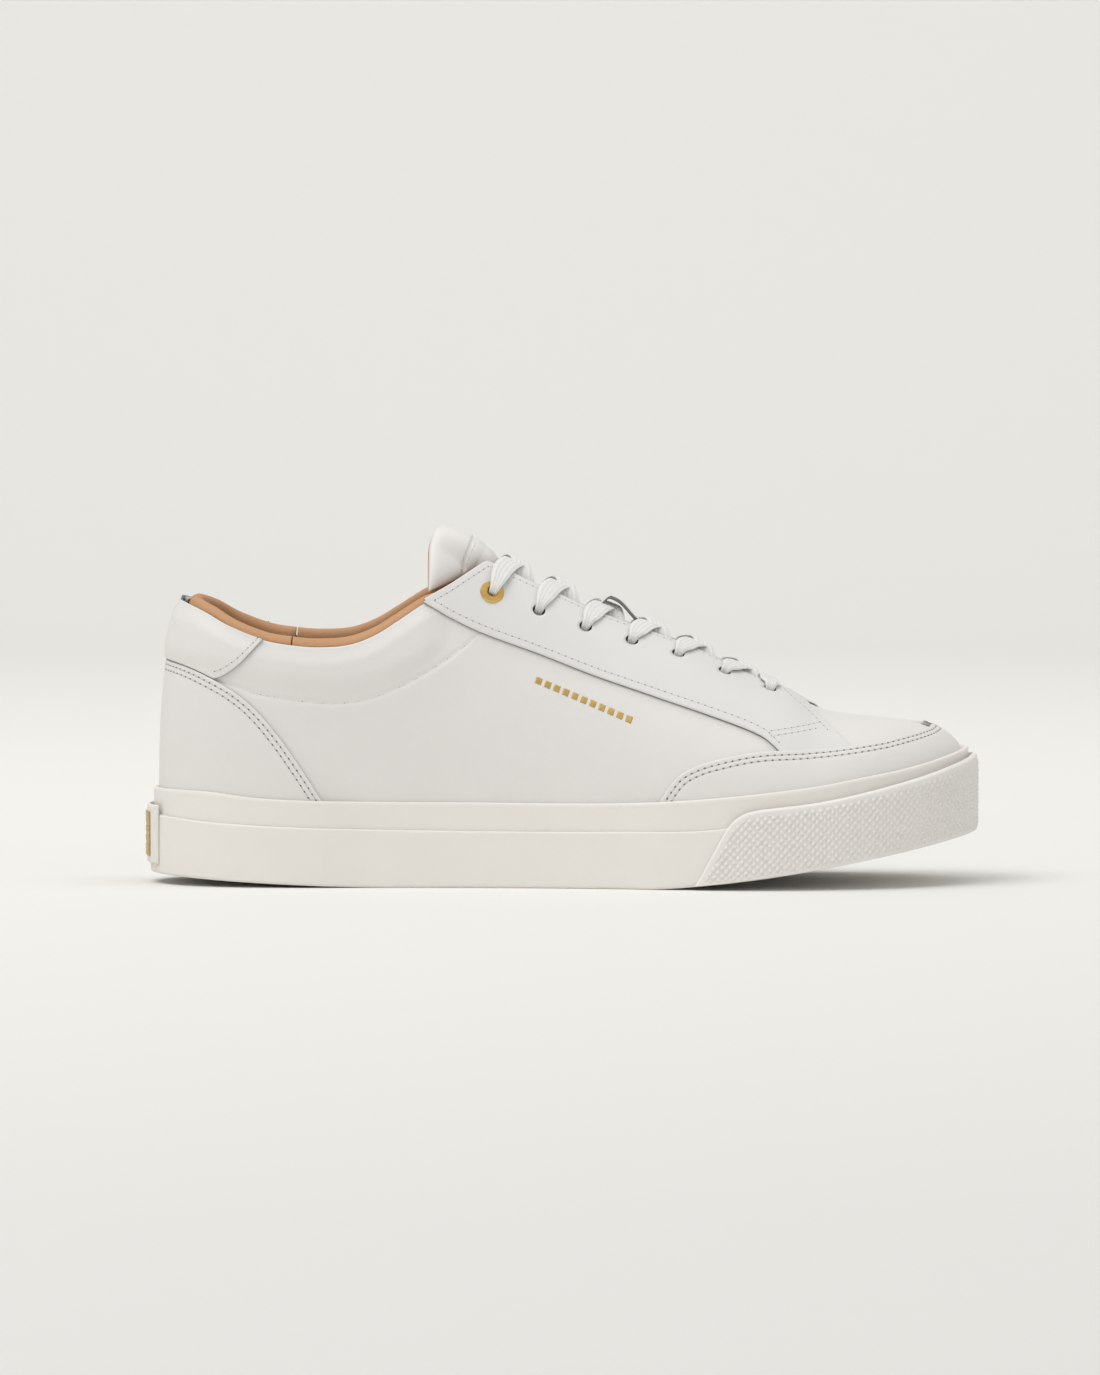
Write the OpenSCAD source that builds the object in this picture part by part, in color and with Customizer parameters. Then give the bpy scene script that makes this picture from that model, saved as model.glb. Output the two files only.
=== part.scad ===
// Low court shoe for the right foot, standing on its sole.
// X runs from the heel to the toe, Y from the outer (lateral) side to the inner (medial) side, Z is up.
// The origin is on the ground, under the middle of the shoe's box.

/* [Overall] */
// Length over the rubber, from the heel label to the toe bumper
shoe_length = 297; // [270:1:325]
// Width over the rubber at the ball of the foot
shoe_width = 106; // [95:1:120]

/* [Sole] */
// Height of the inner rubber band's top edge at the waist
sole_height = 30; // [26:0.5:36]
// Height of the outer rubber band's top edge at the waist
outer_band_height = 20; // [16:0.5:24]
// Height of the insole board's underside over the bottom of the sole
board_height = 11; // [9:0.5:13]
// How far the sole's bottom rises at the toe
toe_spring = 18.5; // [8:0.5:24]
// How far the sole's bottom rises at the heel
heel_spring = 4.2; // [1:0.1:7]
// Thickness of the outsole sheet
outsole_t = 4; // [3:0.1:5]
// Depth of the flex grooves in the outsole
groove_depth = 1.2; // [0.8:0.1:1.6]
// Thickness of the inner rubber band
inner_band_t = 1.5; // [1.2:0.1:2]
// Thickness of the outer rubber band
outer_band_t = 1.2; // [0.9:0.1:1.8]
// Thickness of the toe bumper
bumper_t = 2.6; // [1.8:0.1:3.2]
// Thickness of the heel label
label_t = 1; // [0.8:0.1:1.4]
// Thickness of the badge on the heel label
badge_t = 0.4; // [0.3:0.1:0.6]
// Thickness of the insole board
board_t = 2; // [1.5:0.1:2.5]
// Thickness of the padded sockliner
sockliner_t = 4.5; // [3:0.5:6]

/* [Upper] */
// Height of the leather's edge at the back of the heel
heel_height = 101; // [92:1:108]
// Height of the leather's edge at the lowest point of the collar
collar_height = 84.5; // [78:0.5:88]
// Height of the instep over the tongue's top end
tongue_height = 123.7; // [118:0.5:128]
// Height of the vamp over the toes
vamp_height = 57; // [53:0.5:62]
// How much higher the collar is on the inner side than on the outer side
medial_rise = 1.5; // [0:0.5:3]
// Thickness of the leather of the vamp and quarters
leather_t = 1.4; // [1.2:0.1:1.6]
// Thickness of the leather laid over them
overlay_t = 1.2; // [1:0.1:1.6]
// Thickness of the toe and heel stiffeners
stiffener_t = 1.3; // [1:0.1:1.6]
// Thickness of the linings
lining_t = 1; // [0.8:0.1:1.2]
// Thickness of the collar's foam
collar_foam_t = 4.8; // [3:0.2:6]
// Height of the lining's roll over the leather's edge
collar_roll = 3.2; // [2:0.2:4]
// Thickness of the tongue's foam
tongue_foam_t = 3; // [2:0.2:4]

/* [Lacing] */
// Distance between the facings' edges
throat_gap = 21; // [20:0.5:26]
// Distance between the two rows of lace holes
row_gap = 38; // [38:0.5:46]
// Number of lace holes in each row
hole_count = 7; // [5:1:7]
// Distance between the lace holes along the shoe
hole_pitch = 16.6; // [14:0.1:17]
// Radius of a lace hole
hole_r = 2.3; // [2:0.1:2.6]
// Radius of the top eyelets' flange
flange_r = 4.3; // [3.8:0.1:5]
// Thickness of the eyelets' metal
eyelet_t = 0.5; // [0.4:0.1:0.7]
// Width of the flat lace
lace_w = 7.4; // [6:0.2:7.6]
// Thickness of the flat lace
lace_t = 1.2; // [0.9:0.1:1.3]
// Radius of the tips at the lace's ends
tip_r = 1.5; // [1.3:0.1:1.8]
// Length of the tips
tip_length = 20; // [14:1:24]

/* [Fit] */
// Gap between layers that lie on each other
layer_gap = 0.15; // [0.1:0.05:0.3]
// Gap across the tongue's bend line
bend_gap = 1.2; // [0.8:0.1:2]

/* [Hidden] */

LATERAL = 1;
MEDIAL = -1;

// Rubber stack outside the leather
inner_face = layer_gap;
outer_face = inner_face + inner_band_t + layer_gap;
trim_face = outer_face + outer_band_t + layer_gap;
label_face = trim_face + label_t;
badge_face = label_face + badge_t;
bumper_face = trim_face + bumper_t;

// Leather outline: half its length, its middle and its scale against the reference last
fold_t = overlay_t + layer_gap;
half_length = (shoe_length - badge_face - bumper_face) / 2 - fold_t;
mid_x = (badge_face - bumper_face) / 2;
REFERENCE_HALF = 142.3;
REFERENCE_BALL = 46.94;
length_scale = half_length / REFERENCE_HALF;
width_scale = (shoe_width / 2 - bumper_face - fold_t) / REFERENCE_BALL;

// Reference last: half widths from the centre line, and the centre line itself, against reference X
LATERAL_WIDTHS = [[-145, 33], [-110, 34], [-70, 33.2], [-30, 34], [10, 39.5], [45, 46.2], [72, 50.4],
    [105, 52], [145, 51]];
MEDIAL_WIDTHS = [[-145, 33], [-110, 33], [-70, 31], [-30, 31.5], [10, 37], [45, 44], [72, 45.4], [105,
    43], [145, 41]];
CENTRE_LINE = [[-145, 0], [-60, 0.5], [20, 1.5], [80, 2.5], [145, 6]];
CENTRE_SHIFT = -0.1;
HEEL_POWER = 7.6;
TOE_POWER = 4.6;
HEEL_POLE = -74;
TOE_POLE = 112;
POLE_BLEND = 18;
SECTION_POWERS = [[-145, 3.1], [-80, 3], [-45, 2.4], [-10, 2.15], [50, 2.1], [85, 2.35], [112, 2.9],
    [145, 3.2]];

step = 6; // degrees between stations round the last

// Value at x of the smooth curve through points sorted along x
function slope(p, i) = let (a = max(i - 1, 0), b = min(i + 1, len(p) - 1))
    (p[b][1] - p[a][1]) / (p[b][0] - p[a][0]);
function curve(p, x) = let (n = len(p), c = min(max(x, p[0][0]), p[n - 1][0]),
    i = min(len([for (q = p) if (q[0] <= c) 1]), n - 1) - 1,
    w = p[i + 1][0] - p[i][0], u = (c - p[i][0]) / w, v = 1 - u)
    p[i][1] * (1 + 2 * u) * v * v + p[i + 1][1] * (3 - 2 * u) * u * u
    + w * u * v * (slope(p, i) * v - slope(p, i + 1) * u);
function reference_x(x) = (x - mid_x) / length_scale;
function at(p, x) = curve(p, reference_x(x));
function mix(a, b, u) = a + (b - a) * u;
function soft_min(a, b) = (a + b - sqrt((a - b) * (a - b) + POLE_BLEND * POLE_BLEND)) / 2;
function soft_max(a, b) = (a + b + sqrt((a - b) * (a - b) + POLE_BLEND * POLE_BLEND)) / 2;
function unit(v) = v / norm(v);
function real_x(reference) = mid_x + reference * length_scale;

// Heights along the shoe
function bottom_z(x) = let (r = reference_x(x))
    toe_spring * pow(max(r - 30, 0) / 113, 1.5) + heel_spring * pow(max(-60 - r, 0) / 85, 1.6);
function feather_z(x) = bottom_z(x) + board_height;
INNER_BAND_RISE = [[-145, 4], [-125, 3.6], [-108, 1.6], [-85, 0.5], [-30, 0], [20, 0.1], [52, 2], [87,
    6], [105, 9.2], [122, 12.4], [138, 16.6], [145, 19]];
OUTER_BAND_RISE = [[-145, 5.2], [-120, 2.7], [-85, 1], [-30, 0], [20, 0.2], [57, 1.6], [70, 6.5], [92,
    10.5], [120, 17], [145, 25.5]];
function inner_band_z(x) = sole_height + at(INNER_BAND_RISE, x);
function outer_band_z(x) = outer_band_height + at(OUTER_BAND_RISE, x);
// Below this height the last's side stands upright inside the rubber band
BAND_GRIP = 8.5;
function shoulder_z(x) = inner_band_z(x) - BAND_GRIP;

// Ridge of the last over the toes, the laces and the tongue, and on over the ankle where it only
// guides the sides
RIDGE = [[-145, 9], [-80, 9], [-58, 6], [-39, 0], [-22, -9], [0, -19.7], [12, -25.6], [30, -33], [44,
    -38.6],
    [54, -43.5], [66, -49.6], [80, -55.7], [88, -60.6]];
VAMP_RIDGE = [[88, 6.4], [92.5, 4.6], [98, 3.2], [112, 1.4], [130, 0], [145, -2]];
function ridge_z(x) = let (r = reference_x(x))
    r < 88 ? mix(vamp_height + 6.4, tongue_height, (curve(RIDGE, r) + 60.6) / 60.6)
    : vamp_height + curve(VAMP_RIDGE, r);

// The last's surface. t goes round it in degrees: 0 is the back of the heel, 180 the tip of the toe,
// up to 180 on the outer side and negative (or over 180) on the inner side. phi is 0 at the bottom and
// 90 on the ridge.
function wrap(t) = t > 180 ? t - 360 : t <= -180 ? t + 360 : t;
function base_x(t) = mid_x - half_length * cos(t);
function end_factor(t) = let (u = abs(cos(t)),
    p = cos(t) > 0 ? HEEL_POWER : TOE_POWER) sqrt(max(1 - pow(u, p), 0));
function centre_y(x) = width_scale * (at(CENTRE_LINE, x) - CENTRE_SHIFT);
function base_y(t) = let (w = wrap(t), x = base_x(t))
    centre_y(x) + (w < 0 ? at(MEDIAL_WIDTHS, x) : -at(LATERAL_WIDTHS, x)) * width_scale * end_factor(t);
function target_x(x) = mid_x + length_scale * soft_min(soft_max(reference_x(x), HEEL_POLE), TOE_POLE);
function last_point(t, phi) = let (bx = base_x(t), by = base_y(t), n = at(SECTION_POWERS, bx),
    p = max(phi, 0),
    c = pow(max(cos(p), 0), 2 / n), f = pow(max(sin(p), 0), 2 / n),
    tx = target_x(bx), ty = centre_y(tx), x = mix(tx, bx, c))
    [x, mix(ty, by, c), phi < 0 ? mix(shoulder_z(x), feather_z(x), -phi / 10) : mix(shoulder_z(x),
        ridge_z(x), f)];
function last_normal(t, phi) = let (p = min(max(phi, 2), 88), s = p == 88 ? 0.6 : 0.4)
    unit(cross(last_point(t + s, p) - last_point(t - s, p), last_point(t, p + 1) - last_point(t, p - 1)));
// On the ridge the outer and inner sides share one direction, square to the ridge
function ridge_normal(t) = let (x = last_point(t, 90)[0], dz = (ridge_z(x + 2) - ridge_z(x - 2)) / 4)
    unit([-dz, 0, 1]);
// The station whose base is at x, on the outer or the inner side
function station(x, side) = side * acos(min(max(-(x - mid_x) / half_length, -1), 1));
// phi at which the surface at station t reaches the height that z_of gives for its x
function height_share(x, z) = min(max((z - shoulder_z(x)) / (ridge_z(x) - shoulder_z(x)), 0), 1);
function settle(t, z_of, x, n, turns) = let (bx = base_x(t), f = height_share(x, z_of(x)),
    c = pow(1 - pow(f, n), 1 / n))
    turns == 0 ? f : settle(t, z_of, mix(target_x(bx), bx, c), n, turns - 1);
function phi_at(t, z_of) = let (n = at(SECTION_POWERS, base_x(t)), f = settle(t, z_of, base_x(t), n, 5))
    asin(pow(f, n / 2));
// phi at a distance across the shoe from its centre line
function phi_across(t, y) = let (bx = base_x(t), n = at(SECTION_POWERS, bx),
    w = abs(base_y(t) - centre_y(target_x(bx))))
    acos(pow(min(y / w, 1), n / 2));

// Edges of the panels, as heights against reference X on the outer side; the inner side lies
// medial_rise higher
COLLAR_SHARES = [[-145, 1], [-136, 0.95], [-126, 0.72], [-117, 0.42], [-105, 0.145], [-95, 0.04], [-86,
    0],
    [-75, 0.05], [-66, 0.25], [-58, 0.55], [-48, 0.95], [-40, 1.22], [-30, 1.6], [-20, 1.95]];
HEEL_COVER_EDGE = [[-145, 80], [-135, 78], [-126, 74.5], [-115, 68.4], [-107, 61.6], [-99, 52], [-91,
    40.5], [-84, 29.5]];
HEEL_TAB_EDGE = [[-124, 73.5], [-115, 77.8], [-108, 83.2], [-104, 89]];
FACING_EDGE = [[-52, 102], [-40, 95.2], [-28, 89.5], [-8, 82.2], [12, 74.4], [32, 67.6], [52, 60.8],
    [70, 53.8], [76, 49]];
MUDGUARD_EDGE = [[34, 30], [40, 38.5], [46, 42.4], [54, 45], [69, 47.8], [86, 48.4], [96, 48.9],
    [112.4, 50.9], [120.7, 52.4], [128.9, 54], [132.6, 55], [140, 57], [150, 60]];
function rise(t) = wrap(t) < 0 ? medial_rise : 0;
function collar_z(x) = collar_height + (heel_height - collar_height) * at(COLLAR_SHARES, x);

hole_front = real_x(74.5);
function hole_x(k) = hole_front - k * hole_pitch * length_scale;
top_x = hole_x(hole_count - 1);

// The last as flat panels: its points and directions at every station and every step up its side.
// q runs up the near side from -10 at the bottom edge to 90 on the ridge, and down the far side to 190.
STEP_T = 5;
STEP_Q = 9;
RISE_Q = concat([-10], [for (q = [0:STEP_Q:90]) q]);
ACROSS_Q = concat(RISE_Q, [for (q = [90 + STEP_Q:STEP_Q:180]) q], [190]);
STATIONS = [for (t = [-180:STEP_T:179]) t];
LAST = [for (t = STATIONS) [for (q = RISE_Q) [last_point(t, q), panel_normal(t, q)]]];
function panel_normal(t, q) = q > 88 ? ridge_normal(t) : last_normal(t, q);
function node_at(i, j) = LAST[(i + len(STATIONS)) % len(STATIONS)][j];
function on_panel(n, d) = n[0] + d * n[1];
function near_skin(t, q, d) = let (u = (t > 180 ? t - 180 : t + 180) / STEP_T, i = floor(u + 0.0001),
    f = u - i,
    v = q < 0 ? (q + 10) / 10 : 1 + q / STEP_Q, j = min(floor(v + 0.0001), len(RISE_Q) - 2), g = v - j)
    mix(mix(on_panel(node_at(i, j), d), on_panel(node_at(i + 1, j), d), f),
        mix(on_panel(node_at(i, j + 1), d), on_panel(node_at(i + 1, j + 1), d), f), g);
function skin(t, q, d) = q > 90 ? near_skin(-t, 180 - q, d) : near_skin(t, q, d);
function flat(d) = function (t, q) d;

// A curved sheet between distances inner and outer from the last, over stations ts, from low(t) to
// high(t) in q.
// Panel corners are shared with every other sheet, so sheets that lie on each other never cross.
// tail(t) adds rows [q, inner, outer] above the sheet; joined makes the two sides of a cap meet on the
// ridge.
module sheet(ts, low, high, inner, outer, tail = function (t) [], joined = false) {
    n = len(ts);
    m = len(ACROSS_Q);
    m2 = m + len(tail(ts[0]));
    ends = [for (t = ts) let (a = low(t), b = high(t))
        [a, b, max(len([for (q = ACROSS_Q) if (q <= a + 0.8) q]) - 1, 0),
            len([for (q = ACROSS_Q) if (q < b - 0.8) q])]];
    rows = [for (i = [0:n - 1]) let (e = ends[i]) concat(
        [for (j = [0:m - 1]) let (q = j <= e[2] ? e[0] : j >= e[3] ? e[1] : ACROSS_Q[j])
            [q, inner(ts[i], q), outer(ts[i], q)]], tail(ts[i]))];
    points = [for (side = [2, 1]) for (i = [0:n - 1]) for (r = rows[i]) skin(ts[i], r[0], r[side])];
    function spot(i, j) = let (e = ends[i], c = j >= m ? j : min(max(j, e[2]), e[3]),
        k = joined && c == e[3] ? min(i, n - 1 - i) : i) k * m2 + c;
    face = [for (i = [0:n - 2]) for (j = [0:m2 - 2])
        let (a = spot(i, j), b = spot(i + 1, j), c = spot(i + 1, j + 1), d = spot(i, j + 1))
        each concat(a != b && b != c && a != c ? [[a, b, c]] : [], a != c && c != d && a != d ? [[a, c,
            d]] : [])];
    top = m2 > m ? [for (i = [0:n - 1]) m2 - 1] : [for (e = ends) e[3]];
    rim = concat([for (i = [0:n - 1]) spot(i, ends[i][2])],
        [for (j = [1:m2 - 1]) if (spot(n - 1, j) != spot(n - 1, j - 1)) spot(n - 1, j)],
        joined ? [] : [for (i = [n - 2:-1:0]) spot(i, top[i])],
        [for (j = [m2 - 2:-1:1]) if (spot(0, j) != spot(0, j + 1) && spot(0, j) != spot(0, 0)) spot(0,
            j)]);
    s = n * m2;
    r = len(rim);
    walls = [for (i = [0:r - 1]) let (a = rim[i], b = rim[(i + 1) % r]) each [[a, a + s, b + s], [a,
        b + s, b]]];
    back = [for (f = face) [f[0] + s, f[2] + s, f[1] + s]];
    polyhedron(points, [for (f = concat(face, back, walls)) [f[2], f[1], f[0]]]);
}

// Stations from t0 to t1, the panels' own between them included
function stations(t0, t1) = concat([t0], [for (t = [ceil(t0 / STEP_T) * STEP_T:STEP_T:t1])
    if (t > t0 + 0.8 && t < t1 - 0.8) t], [t1]);

// Depths of the layers under the leather's outer face
overlay_in = layer_gap;
overlay_out = layer_gap + overlay_t;
backing_out = -leather_t - layer_gap;
backing_in = backing_out - stiffener_t;
lining_out = backing_in - layer_gap;
lining_in = lining_out - lining_t;
lace_clear = 0.6;
lace_under = lining_in - lace_clear - lace_t / 2;
tongue_out = lining_in - 2 * lace_clear - lace_t;
tongue_crown = 3.2;
function crown(q) = let (u = max(1 - abs(q - 90) / 20, 0)) u * u * (3 - 2 * u);
function tongue_face(q) = tongue_out + tongue_crown * crown(q);

// Padding of the collar: none below the pad line and full PAD_RISE above it
PAD_EDGE = [[-145, 76], [-120, 72], [-107, 68], [-91, 65.5], [-78, 64.8], [-66, 67], [-51, 73.7], [-36,
    83.5]];
PAD_RISE = 10;
PAD_EDGE_T = 0.8;
function pad_share(t, q) = let (p = last_point(t, q), u = (p[2] - at(PAD_EDGE,
    p[0]) - rise(t)) / PAD_RISE)
    base_x(t) > real_x(-38) ? 0 : min(max(u, 0), 1) * min((real_x(-38) - base_x(t)) / 8, 1);
function foam_inner(t, q) = backing_out - mix(PAD_EDGE_T, collar_foam_t, pad_share(t, q));
function lining_outer(t, q) = mix(lining_out, backing_out - collar_foam_t - layer_gap, pad_share(t, q));

// Heights of the panels' edges on either side
function on_side(t, f, lift = 0) = phi_at(t, function (x) f(x) + rise(t) + lift);
function collar_q(t, lift = 0) = on_side(t, function (x) collar_z(x), lift);
function throat_q(t, y) = base_x(t) < real_x(-60) ? 90 : phi_across(t, y);
function facing_top_q(t, lift, y) = min(collar_q(t, lift), throat_q(t, y));
function edge_q(t, table, lift = 0) = on_side(t, function (x) at(table, x), lift);

WHITE = [0.89, 0.88, 0.86];
GREYER = [0.86, 0.85, 0.84];
RUBBER = [0.9, 0.88, 0.85];
TAN = [0.78, 0.56, 0.37];
GOLD = [0.84, 0.66, 0.28];
FOAM = [0.93, 0.9, 0.78];
BOARD = [0.72, 0.66, 0.56];

// Sole: the outline seen from above, grown by d and by the overlays where these reach into the sole
FOLD_HEEL = -84;
FOLD_TOE = 36;
FOLD_BLEND = 14;
function fold(t) = let (r = reference_x(base_x(t)))
    fold_t * min(max(max(FOLD_HEEL + FOLD_BLEND - r, r - FOLD_TOE + FOLD_BLEND) / FOLD_BLEND, 0), 1);
function plan(t, d) = let (n = last_normal(t, 2), h = unit([n[0], n[1]])) [base_x(t), base_y(t)] + d * h;
function outline(d, folded = true) = [for (t = STATIONS) plan(t, d + (folded ? fold(t) : 0))];
function profile(low, high, x0, x1) = concat(
    [for (i = [0:24]) let (x = mix(x0, x1, i / 24)) [x, low(x)]],
    [for (i = [24:-1:0]) let (x = mix(x0, x1, i / 24)) [x, high(x)]]);
REACH = 40;
module side_prism(points) { translate([0, shoe_width, 0]) rotate([90, 0,
    0]) linear_extrude(2 * shoe_width) polygon(points); }
x_back = -shoe_length / 2 - 3;
x_front = shoe_length / 2 + 3;

module slab(d, low, high, folded) {
    intersection() {
        linear_extrude(100) polygon(outline(d, folded));
        side_prism(profile(low, high, x_back, x_front));
    }
}
module ring(d0, d1, low, high) {
    intersection() {
        linear_extrude(100) difference() {
            polygon(outline(d1));
            polygon(outline(d0));
        }
        side_prism(profile(low, high, x_back, x_front));
    }
}

TREAD_PITCH = 9;
TREAD_WIDTH = 2.2;
TREAD_SWING = 3;
TREAD_TOOTH = 12;
function zigzag(x, w) = let (k = floor(shoe_width / 2 / TREAD_TOOTH) + 1) concat(
    [for (i = [-k:k]) [x + w / 2 + (i % 2 == 0 ? TREAD_SWING : 0), i * TREAD_TOOTH]],
    [for (i = [k:-1:-k]) [x - w / 2 + (i % 2 == 0 ? TREAD_SWING : 0), i * TREAD_TOOTH]]);
module outsole() {
    color(RUBBER) difference() {
        slab(0, function (x) bottom_z(x), function (x) bottom_z(x) + outsole_t, true);
        intersection() {
            linear_extrude(60) for (zone = [[-126, -70], [14, 122]], r = [zone[0]:TREAD_PITCH:zone[1]])
                polygon(zigzag(real_x(r), TREAD_WIDTH));
            side_prism(profile(function (x) -2, function (x) bottom_z(x) + groove_depth, x_back,
                x_front));
        }
    }
}
module midsole() {
    color(FOAM) slab(0, function (x) bottom_z(x) + outsole_t + layer_gap,
        function (x) feather_z(x) - layer_gap, true);
}
module inner_band() {
    color(RUBBER) ring(inner_face, inner_face + inner_band_t, function (x) bottom_z(x),
        function (x) inner_band_z(x));
}
module outer_band() {
    color(RUBBER) ring(outer_face, outer_face + outer_band_t, function (x) bottom_z(x),
        function (x) outer_band_z(x));
}
BUMPER_FOOT = 47;
BUMPER_BACK = [[49.5, 5], [57.8, 20.5], [61, 24.6], [65, 27.2], [69.2, 28.3]];
BUMPER_TOP = [[69.2, 28.3], [92.4, 31.4], [119.7, 37.9], [138.6, 44], [145, 47]];
module toe_bumper() {
    top = [for (p = concat(BUMPER_BACK, [for (r = [75:6:141]) [r, curve(BUMPER_TOP, r)]], [[160, 48.5]]))
        [real_x(p[0]), p[1] + sole_height - 30]];
    color(RUBBER) intersection() {
        linear_extrude(100) difference() {
            polygon(outline(bumper_face));
            polygon(outline(trim_face));
        }
        side_prism(concat(top, [for (i = [24:-1:0]) let (x = mix(real_x(BUMPER_FOOT), real_x(160),
            i / 24)) [x, bottom_z(x)]]));
    }
}
LABEL_LOW = 7;
LABEL_HIGH = 28;
LABEL_WIDTH = 31;
BADGE_WIDTH = 20;
BADGE_MARGIN = 2.6;
module heel_plate(d0, d1, width, z0, z1) {
    intersection() {
        linear_extrude(100) difference() {
            polygon(outline(d1));
            polygon(outline(d0));
        }
        translate([x_back - 5, -width / 2, z0]) cube([REACH, width, z1 - z0]);
    }
}
REFERENCE_SPRING = 4.2;
REFERENCE_BAND = 20;
label_low = heel_spring + LABEL_LOW - REFERENCE_SPRING;
label_high = outer_band_height + LABEL_HIGH - REFERENCE_BAND;
module heel_label() {
    color(RUBBER) heel_plate(trim_face, label_face - layer_gap, LABEL_WIDTH, label_low, label_high);
}
module heel_badge() {
    color(GOLD) heel_plate(label_face, badge_face, BADGE_WIDTH, label_low + BADGE_MARGIN,
        label_high - BADGE_MARGIN);
}
inside_gap = 0.3;
module insole_board() {
    color(BOARD) slab(lining_in - inside_gap, function (x) feather_z(x),
        function (x) feather_z(x) + board_t, false);
}
module sockliner() {
    color(TAN) slab(lining_in - inside_gap, function (x) feather_z(x) + board_t + layer_gap,
        function (x) feather_z(x) + board_t + layer_gap + sockliner_t, false);
}

// Upper
seam_gap = 0.4;
vamp_back = station(real_x(78.5), 1);
seam_t = 0.25;
module vamp() {
    color(WHITE) sheet(stations(vamp_back, 360 - vamp_back), flat(-10), flat(90), flat(-leather_t),
        flat(0), joined = true);
}
module vamp_lining() {
    color(TAN) sheet(stations(vamp_back, 360 - vamp_back), flat(-10), flat(90), flat(lining_in),
        flat(lining_out), joined = true);
}
puff_back = station(real_x(98), 1);
module toe_puff() {
    color(BOARD) sheet(stations(puff_back, 360 - puff_back), flat(-10), flat(90), flat(backing_in),
        flat(backing_out), joined = true);
}
// The mudguard's upper edge climbs higher on the inner side of the toes by a bell in q
TOE_RISE = 26;
TOE_RISE_X = 128;
TOE_RISE_W = 11;
TOE_END = 142.3;
TOE_FADE = 5;
function mudguard_q(t) = let (r = reference_x(base_x(t)), u = min(max((TOE_END - r) / TOE_FADE, 0), 1),
    bell = wrap(t) < 0 ? exp(-pow((r - TOE_RISE_X) / TOE_RISE_W, 2)) * u * u * (3 - 2 * u) : 0)
    edge_q(t, MUDGUARD_EDGE) + TOE_RISE * bell;
guard_back = station(real_x(35), 1);
module mudguard() {
    color(WHITE) sheet(stations(guard_back, 360 - guard_back), flat(-10), function (t) mudguard_q(t),
        flat(overlay_in), flat(overlay_out));
}
HOLE_TURN = 17;
module hole_cuts(side, r) {
    for (k = [0:hole_count - 1]) at_hole(k, side) rotate([0, 0, HOLE_TURN]) translate([0, 0,
        -12]) cylinder(r = r, h = 24, $fn = 32);
}
// Frame on the leather's outer face at a lace hole: local Z points out, local X towards the toe
function hole_t(k, side) = station(hole_x(k), side);
function hole_q(k, side) = throat_q(hole_t(k, side), row_gap / 2);
module at_hole(k, side) {
    t = hole_t(k, side);
    q = hole_q(k, side);
    p = skin(t, q, 0);
    z = unit(last_normal(t, q));
    y = unit(cross(z, [1, 0, 0]));
    x = cross(y, z);
    multmatrix([[x[0], y[0], z[0], p[0]], [x[1], y[1], z[1], p[1]], [x[2], y[2], z[2], p[2]], [0, 0, 0,
        1]]) children();
}
function between(side, x0, x1) = side == LATERAL ? stations(station(x0, 1), station(x1, 1))
    : stations(360 - station(x1, 1), 360 - station(x0, 1));
module quarter(side) {
    front = station(real_x(78.5) - seam_gap, 1);
    ts = side == LATERAL ? stations(seam_t, front) : stations(360 - front, 360 - seam_t);
    color(WHITE) difference() {
        sheet(ts, flat(-10), function (t) facing_top_q(t, 0, throat_gap / 2 + 1), flat(-leather_t),
            flat(0));
        hole_cuts(side, hole_r);
    }
}
module quarter_lateral() { quarter(LATERAL); }
module quarter_medial() { quarter(MEDIAL); }
module heel_cover() {
    end = station(real_x(-84), 1);
    color(WHITE) sheet(stations(-end, end), flat(-10), function (t) edge_q(t, HEEL_COVER_EDGE),
        flat(overlay_in), flat(overlay_out));
}
module heel_tab() {
    end = station(real_x(-104), 1);
    color(WHITE) sheet(stations(-end, end),
        function (t) max(edge_q(t, HEEL_COVER_EDGE, 0.5), edge_q(t, HEEL_TAB_EDGE)),
        function (t) collar_q(t), flat(overlay_in), flat(overlay_out));
}
module heel_stiffener() {
    end = station(real_x(-72), 1);
    color(BOARD) sheet(stations(-end, end), flat(-10), function (t) edge_q(t, PAD_EDGE, -4),
        flat(backing_in), flat(backing_out));
}
module collar_foam() {
    end = station(real_x(-42), 1);
    color(FOAM) sheet(stations(-end, end), function (t) edge_q(t, PAD_EDGE), function (t) collar_q(t, -2),
        function (t, q) foam_inner(t, q), flat(backing_out));
}
// The lining's top: a roll over the leather's edge round the collar, a plain edge along the throat
function lining_tail(t) = let (collar = collar_q(t, -1.2) < throat_q(t, throat_gap / 2 + 4))
    collar ? [[collar_q(t, 0.3), -leather_t - collar_roll - 1.6, -leather_t - 0.1],
        [collar_q(t, collar_roll), -leather_t - collar_roll, -leather_t - 0.6]]
    : [[throat_q(t, throat_gap / 2 + 2), lining_in, lining_out], [throat_q(t, throat_gap / 2 + 1),
        lining_in, lining_out]];
function lining_top(t) = min(collar_q(t, -1.2), throat_q(t, throat_gap / 2 + 4));
module lining(ts) {
    sheet(ts, flat(-10), function (t) lining_top(t), function (t, q) lining_outer(t, q) - lining_t,
        function (t, q) lining_outer(t, q), tail = function (t) lining_tail(t));
}
lining_seam = station(real_x(-97), 1);
module heel_lining() { color(TAN) lining(stations(-lining_seam, lining_seam)); }
module quarter_lining(side) {
    color(TAN) difference() {
        lining(between(side, real_x(-97) + seam_gap, real_x(78.5) - seam_gap));
        hole_cuts(side, hole_r + 0.2);
    }
}
module quarter_lining_lateral() { quarter_lining(LATERAL); }
module quarter_lining_medial() { quarter_lining(MEDIAL); }

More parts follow.
